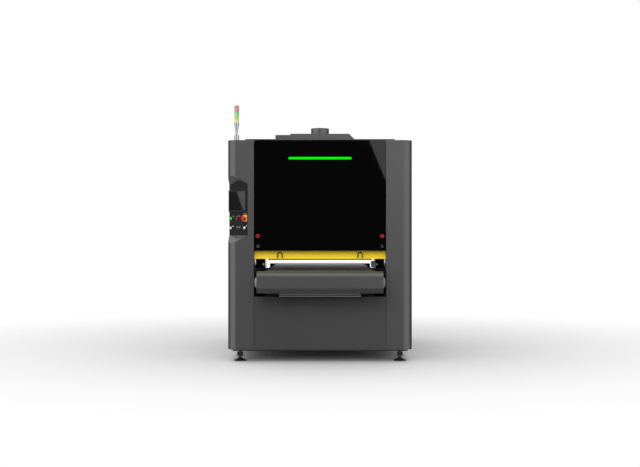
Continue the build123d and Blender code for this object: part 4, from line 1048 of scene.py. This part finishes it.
shape = bmesh.new()
for face in (RIGHT, LEFT):
    for end in (-1, 1):
        for rise in (-BEARING_BOLT_RISE, BEARING_BOLT_RISE):
            level = roller_axis.z + rise
            outer, inner = roller_axis.y + BEARING_BOLT_OUT, roller_axis.y - BEARING_BOLT_IN
            hex_bolt(shape, on(face, end * outer, level, nose_high.x), BEARING_BOLT)
            hex_bolt(shape, on(face, end * inner, level, bearing_high.x), BEARING_BOLT)
finish_piece("table_bearing_bolts", "table", "steel", shape)


# Studio
def area_lamp(name, location, target, size, power):
    """A large soft lamp that lights surfaces without showing in reflections."""
    data = bpy.data.lights.new(name, "AREA")
    data.shape = "RECTANGLE"
    data.size, data.size_y = size
    data.energy = power
    lamp = bpy.data.objects.new(name, data)
    lamp.location = location
    lamp.rotation_euler = (Vector(target) - Vector(location)).to_track_quat("-Z", "Y").to_euler()
    lamp.visible_glossy = False
    scene.collection.objects.link(lamp)
    return lamp


key_lamp = area_lamp(
    "key_lamp", location=(-1.4, -4.6, 5.6), target=(0, -0.6, 1.2), size=(5.5, 3.5), power=245
)
area_lamp("fill_lamp", location=(0, -9, 3.2), target=(0, -1, 1.2), size=(6, 2.5), power=65)

# Strength of the light from all round, and how much more of it comes from the left
AMBIENT = 1.1
LEFT_MORE = 0.25

# What reflections see: strengths of the bright surroundings, their sides, the dark front and the dim rear
BRIGHT = 1.2
SIDES = 0.5
DARK_FRONT = 0.03
DARK_REAR = 0.08
LOW_REAR = 0.5
HIGH_REAR = 0.7

# Where they see it: slanted right edge and upright left edge of the front, edges of the sides and the rear
FRONT_SLOPE = 2.43
FRONT_RIGHT = 0.2394
FRONT_LEFT = -0.36
SIDES_START = 0.5
SIDES_END = 4.0
REAR_SLOPE = 0.333
REAR_EDGE = 0.0779
REAR_MIDDLE = 0.955
REAR_BAND = 0.35
LEAST = 0.0001


def studio_world():
    """White to the camera; reflections see bright sides, a dark front and a dim rear."""
    world = bpy.data.worlds.new("studio")
    world.use_nodes = True
    scene.world = world
    tree = world.node_tree
    tree.nodes.clear()

    def under(value, limit):
        return calc(tree, "LESS_THAN", value, limit)

    def over(value, limit):
        return calc(tree, "GREATER_THAN", value, limit)

    def both(first, second):
        return calc(tree, "MULTIPLY", first, second)

    def add_share(value, share, start):
        return calc(tree, "ADD", calc(tree, "MULTIPLY", value, share), start)

    def sky(strength=1.0):
        background = tree.nodes.new("ShaderNodeBackground")
        dress(tree, background, {"Color": (1, 1, 1), "Strength": strength})
        return background.outputs["Background"]

    coords = tree.nodes.new("ShaderNodeTexCoord")
    x, y, z = split(tree, coords.outputs["Generated"])
    towards = calc(tree, "MAXIMUM", calc(tree, "MULTIPLY", y, -1.0), LEAST)
    across, up = (calc(tree, "DIVIDE", part, towards) for part in (x, z))
    slant = add_share(across, FRONT_SLOPE, up)
    front = both(both(under(slant, FRONT_RIGHT), over(across, FRONT_LEFT)), under(y, 0.0))
    aside = calc(tree, "ABSOLUTE", across)
    beside = both(over(aside, SIDES_START), under(aside, SIDES_END))
    sideways = calc(tree, "MAXIMUM", calc(tree, "ABSOLUTE", x), LEAST)
    lean = add_share(calc(tree, "DIVIDE", z, sideways), REAR_SLOPE, REAR_EDGE)
    rear = both(over(calc(tree, "DIVIDE", y, sideways), lean), under(y, REAR_MIDDLE))
    level = add_share(front, DARK_FRONT - BRIGHT, BRIGHT)
    level = add_share(beside, SIDES, level)
    level = add_share(rear, DARK_REAR - BRIGHT, level)
    level = add_share(both(rear, under(z, -REAR_BAND)), LOW_REAR - DARK_REAR, level)
    level = add_share(both(rear, over(z, REAR_BAND)), HIGH_REAR - DARK_REAR, level)

    path = tree.nodes.new("ShaderNodeLightPath")
    mirrored = calc(tree, "MAXIMUM", path.outputs["Is Glossy Ray"], path.outputs["Is Transmission Ray"])
    ambient = add_share(x, LEFT_MORE * -AMBIENT, AMBIENT)
    lit = mix(tree, mirrored, sky(ambient), sky(level))
    out = tree.nodes.new("ShaderNodeOutputWorld")
    tree.links.new(mix(tree, path.outputs["Is Camera Ray"], lit, sky()), out.inputs["Surface"])


studio_world()

# Floor: its middle and how fast it runs out to white towards the front and the rear
FLOOR_HALF = 40
FLOOR_GREY = (0.76, 0.76, 0.76)
UNSEEN_GREY = (0.1, 0.1, 0.1)
SHADOW_MIDDLE = 0.6
SHADOW_FRONT = 1.3
SHADOW_REAR = 1.5
SHADOW_FADE = (1.8, 6.0)


def floor():
    """Pale floor that keeps the shadow and runs out to white; only the camera sees it as bright as that."""
    mesh = bpy.data.meshes.new("floor")
    corners = [(FLOOR_HALF * u, FLOOR_HALF * v, 0) for u, v in ((-1, -1), (1, -1), (1, 1), (-1, 1))]
    mesh.from_pydata(corners, [], [(0, 1, 2, 3)])
    piece = bpy.data.objects.new("floor", mesh)
    scene.collection.objects.link(piece)
    piece.visible_glossy = False
    material, tree, shader = new_material("floor")
    dress(tree, shader, {"Base Color": FLOOR_GREY, "Roughness": 0.9, "Specular IOR Level": 0})
    x, y, _ = split(tree, place(tree))
    behind = calc(tree, "MULTIPLY", calc(tree, "SUBTRACT", y, SHADOW_MIDDLE), SHADOW_REAR)
    ahead = calc(tree, "MULTIPLY", calc(tree, "SUBTRACT", SHADOW_MIDDLE, y), SHADOW_FRONT)
    away = reach(tree, x, calc(tree, "MAXIMUM", behind, ahead))
    start, end = SHADOW_FADE
    far = spread(tree, away, low=0, high=1, start=start, end=end)
    white = tree.nodes.new("ShaderNodeEmission")
    shown = mix(tree, far, shader.outputs["BSDF"], white.outputs["Emission"])
    unseen = tree.nodes.new("ShaderNodeBsdfDiffuse")
    dress(tree, unseen, {"Color": UNSEEN_GREY})
    path = tree.nodes.new("ShaderNodeLightPath")
    final = mix(tree, path.outputs["Is Camera Ray"], unseen.outputs["BSDF"], shown)
    tree.links.new(final, tree.nodes["Material Output"].inputs["Surface"])
    mesh.materials.append(material)
    return piece


# The key lamp leaves the floor to the sky, which gives it a soft wide shadow
left_out = bpy.data.collections.new("key_lamp_leaves_out")
left_out.objects.link(floor())
key_lamp.light_linking.receiver_collection = left_out
left_out.collection_objects[0].light_linking.link_state = "EXCLUDE"

# Camera
CAMERA_DISTANCE = 9.673
CAMERA_HEIGHT = 1.25

camera_data = bpy.data.cameras.new("camera")
camera_data.lens = 50
camera_data.sensor_width = 36
camera = bpy.data.objects.new("camera", camera_data)
camera.location = (0, -CAMERA_DISTANCE, CAMERA_HEIGHT)
camera.rotation_euler = (math.radians(90), 0, 0)
scene.collection.objects.link(camera)
scene.camera = camera
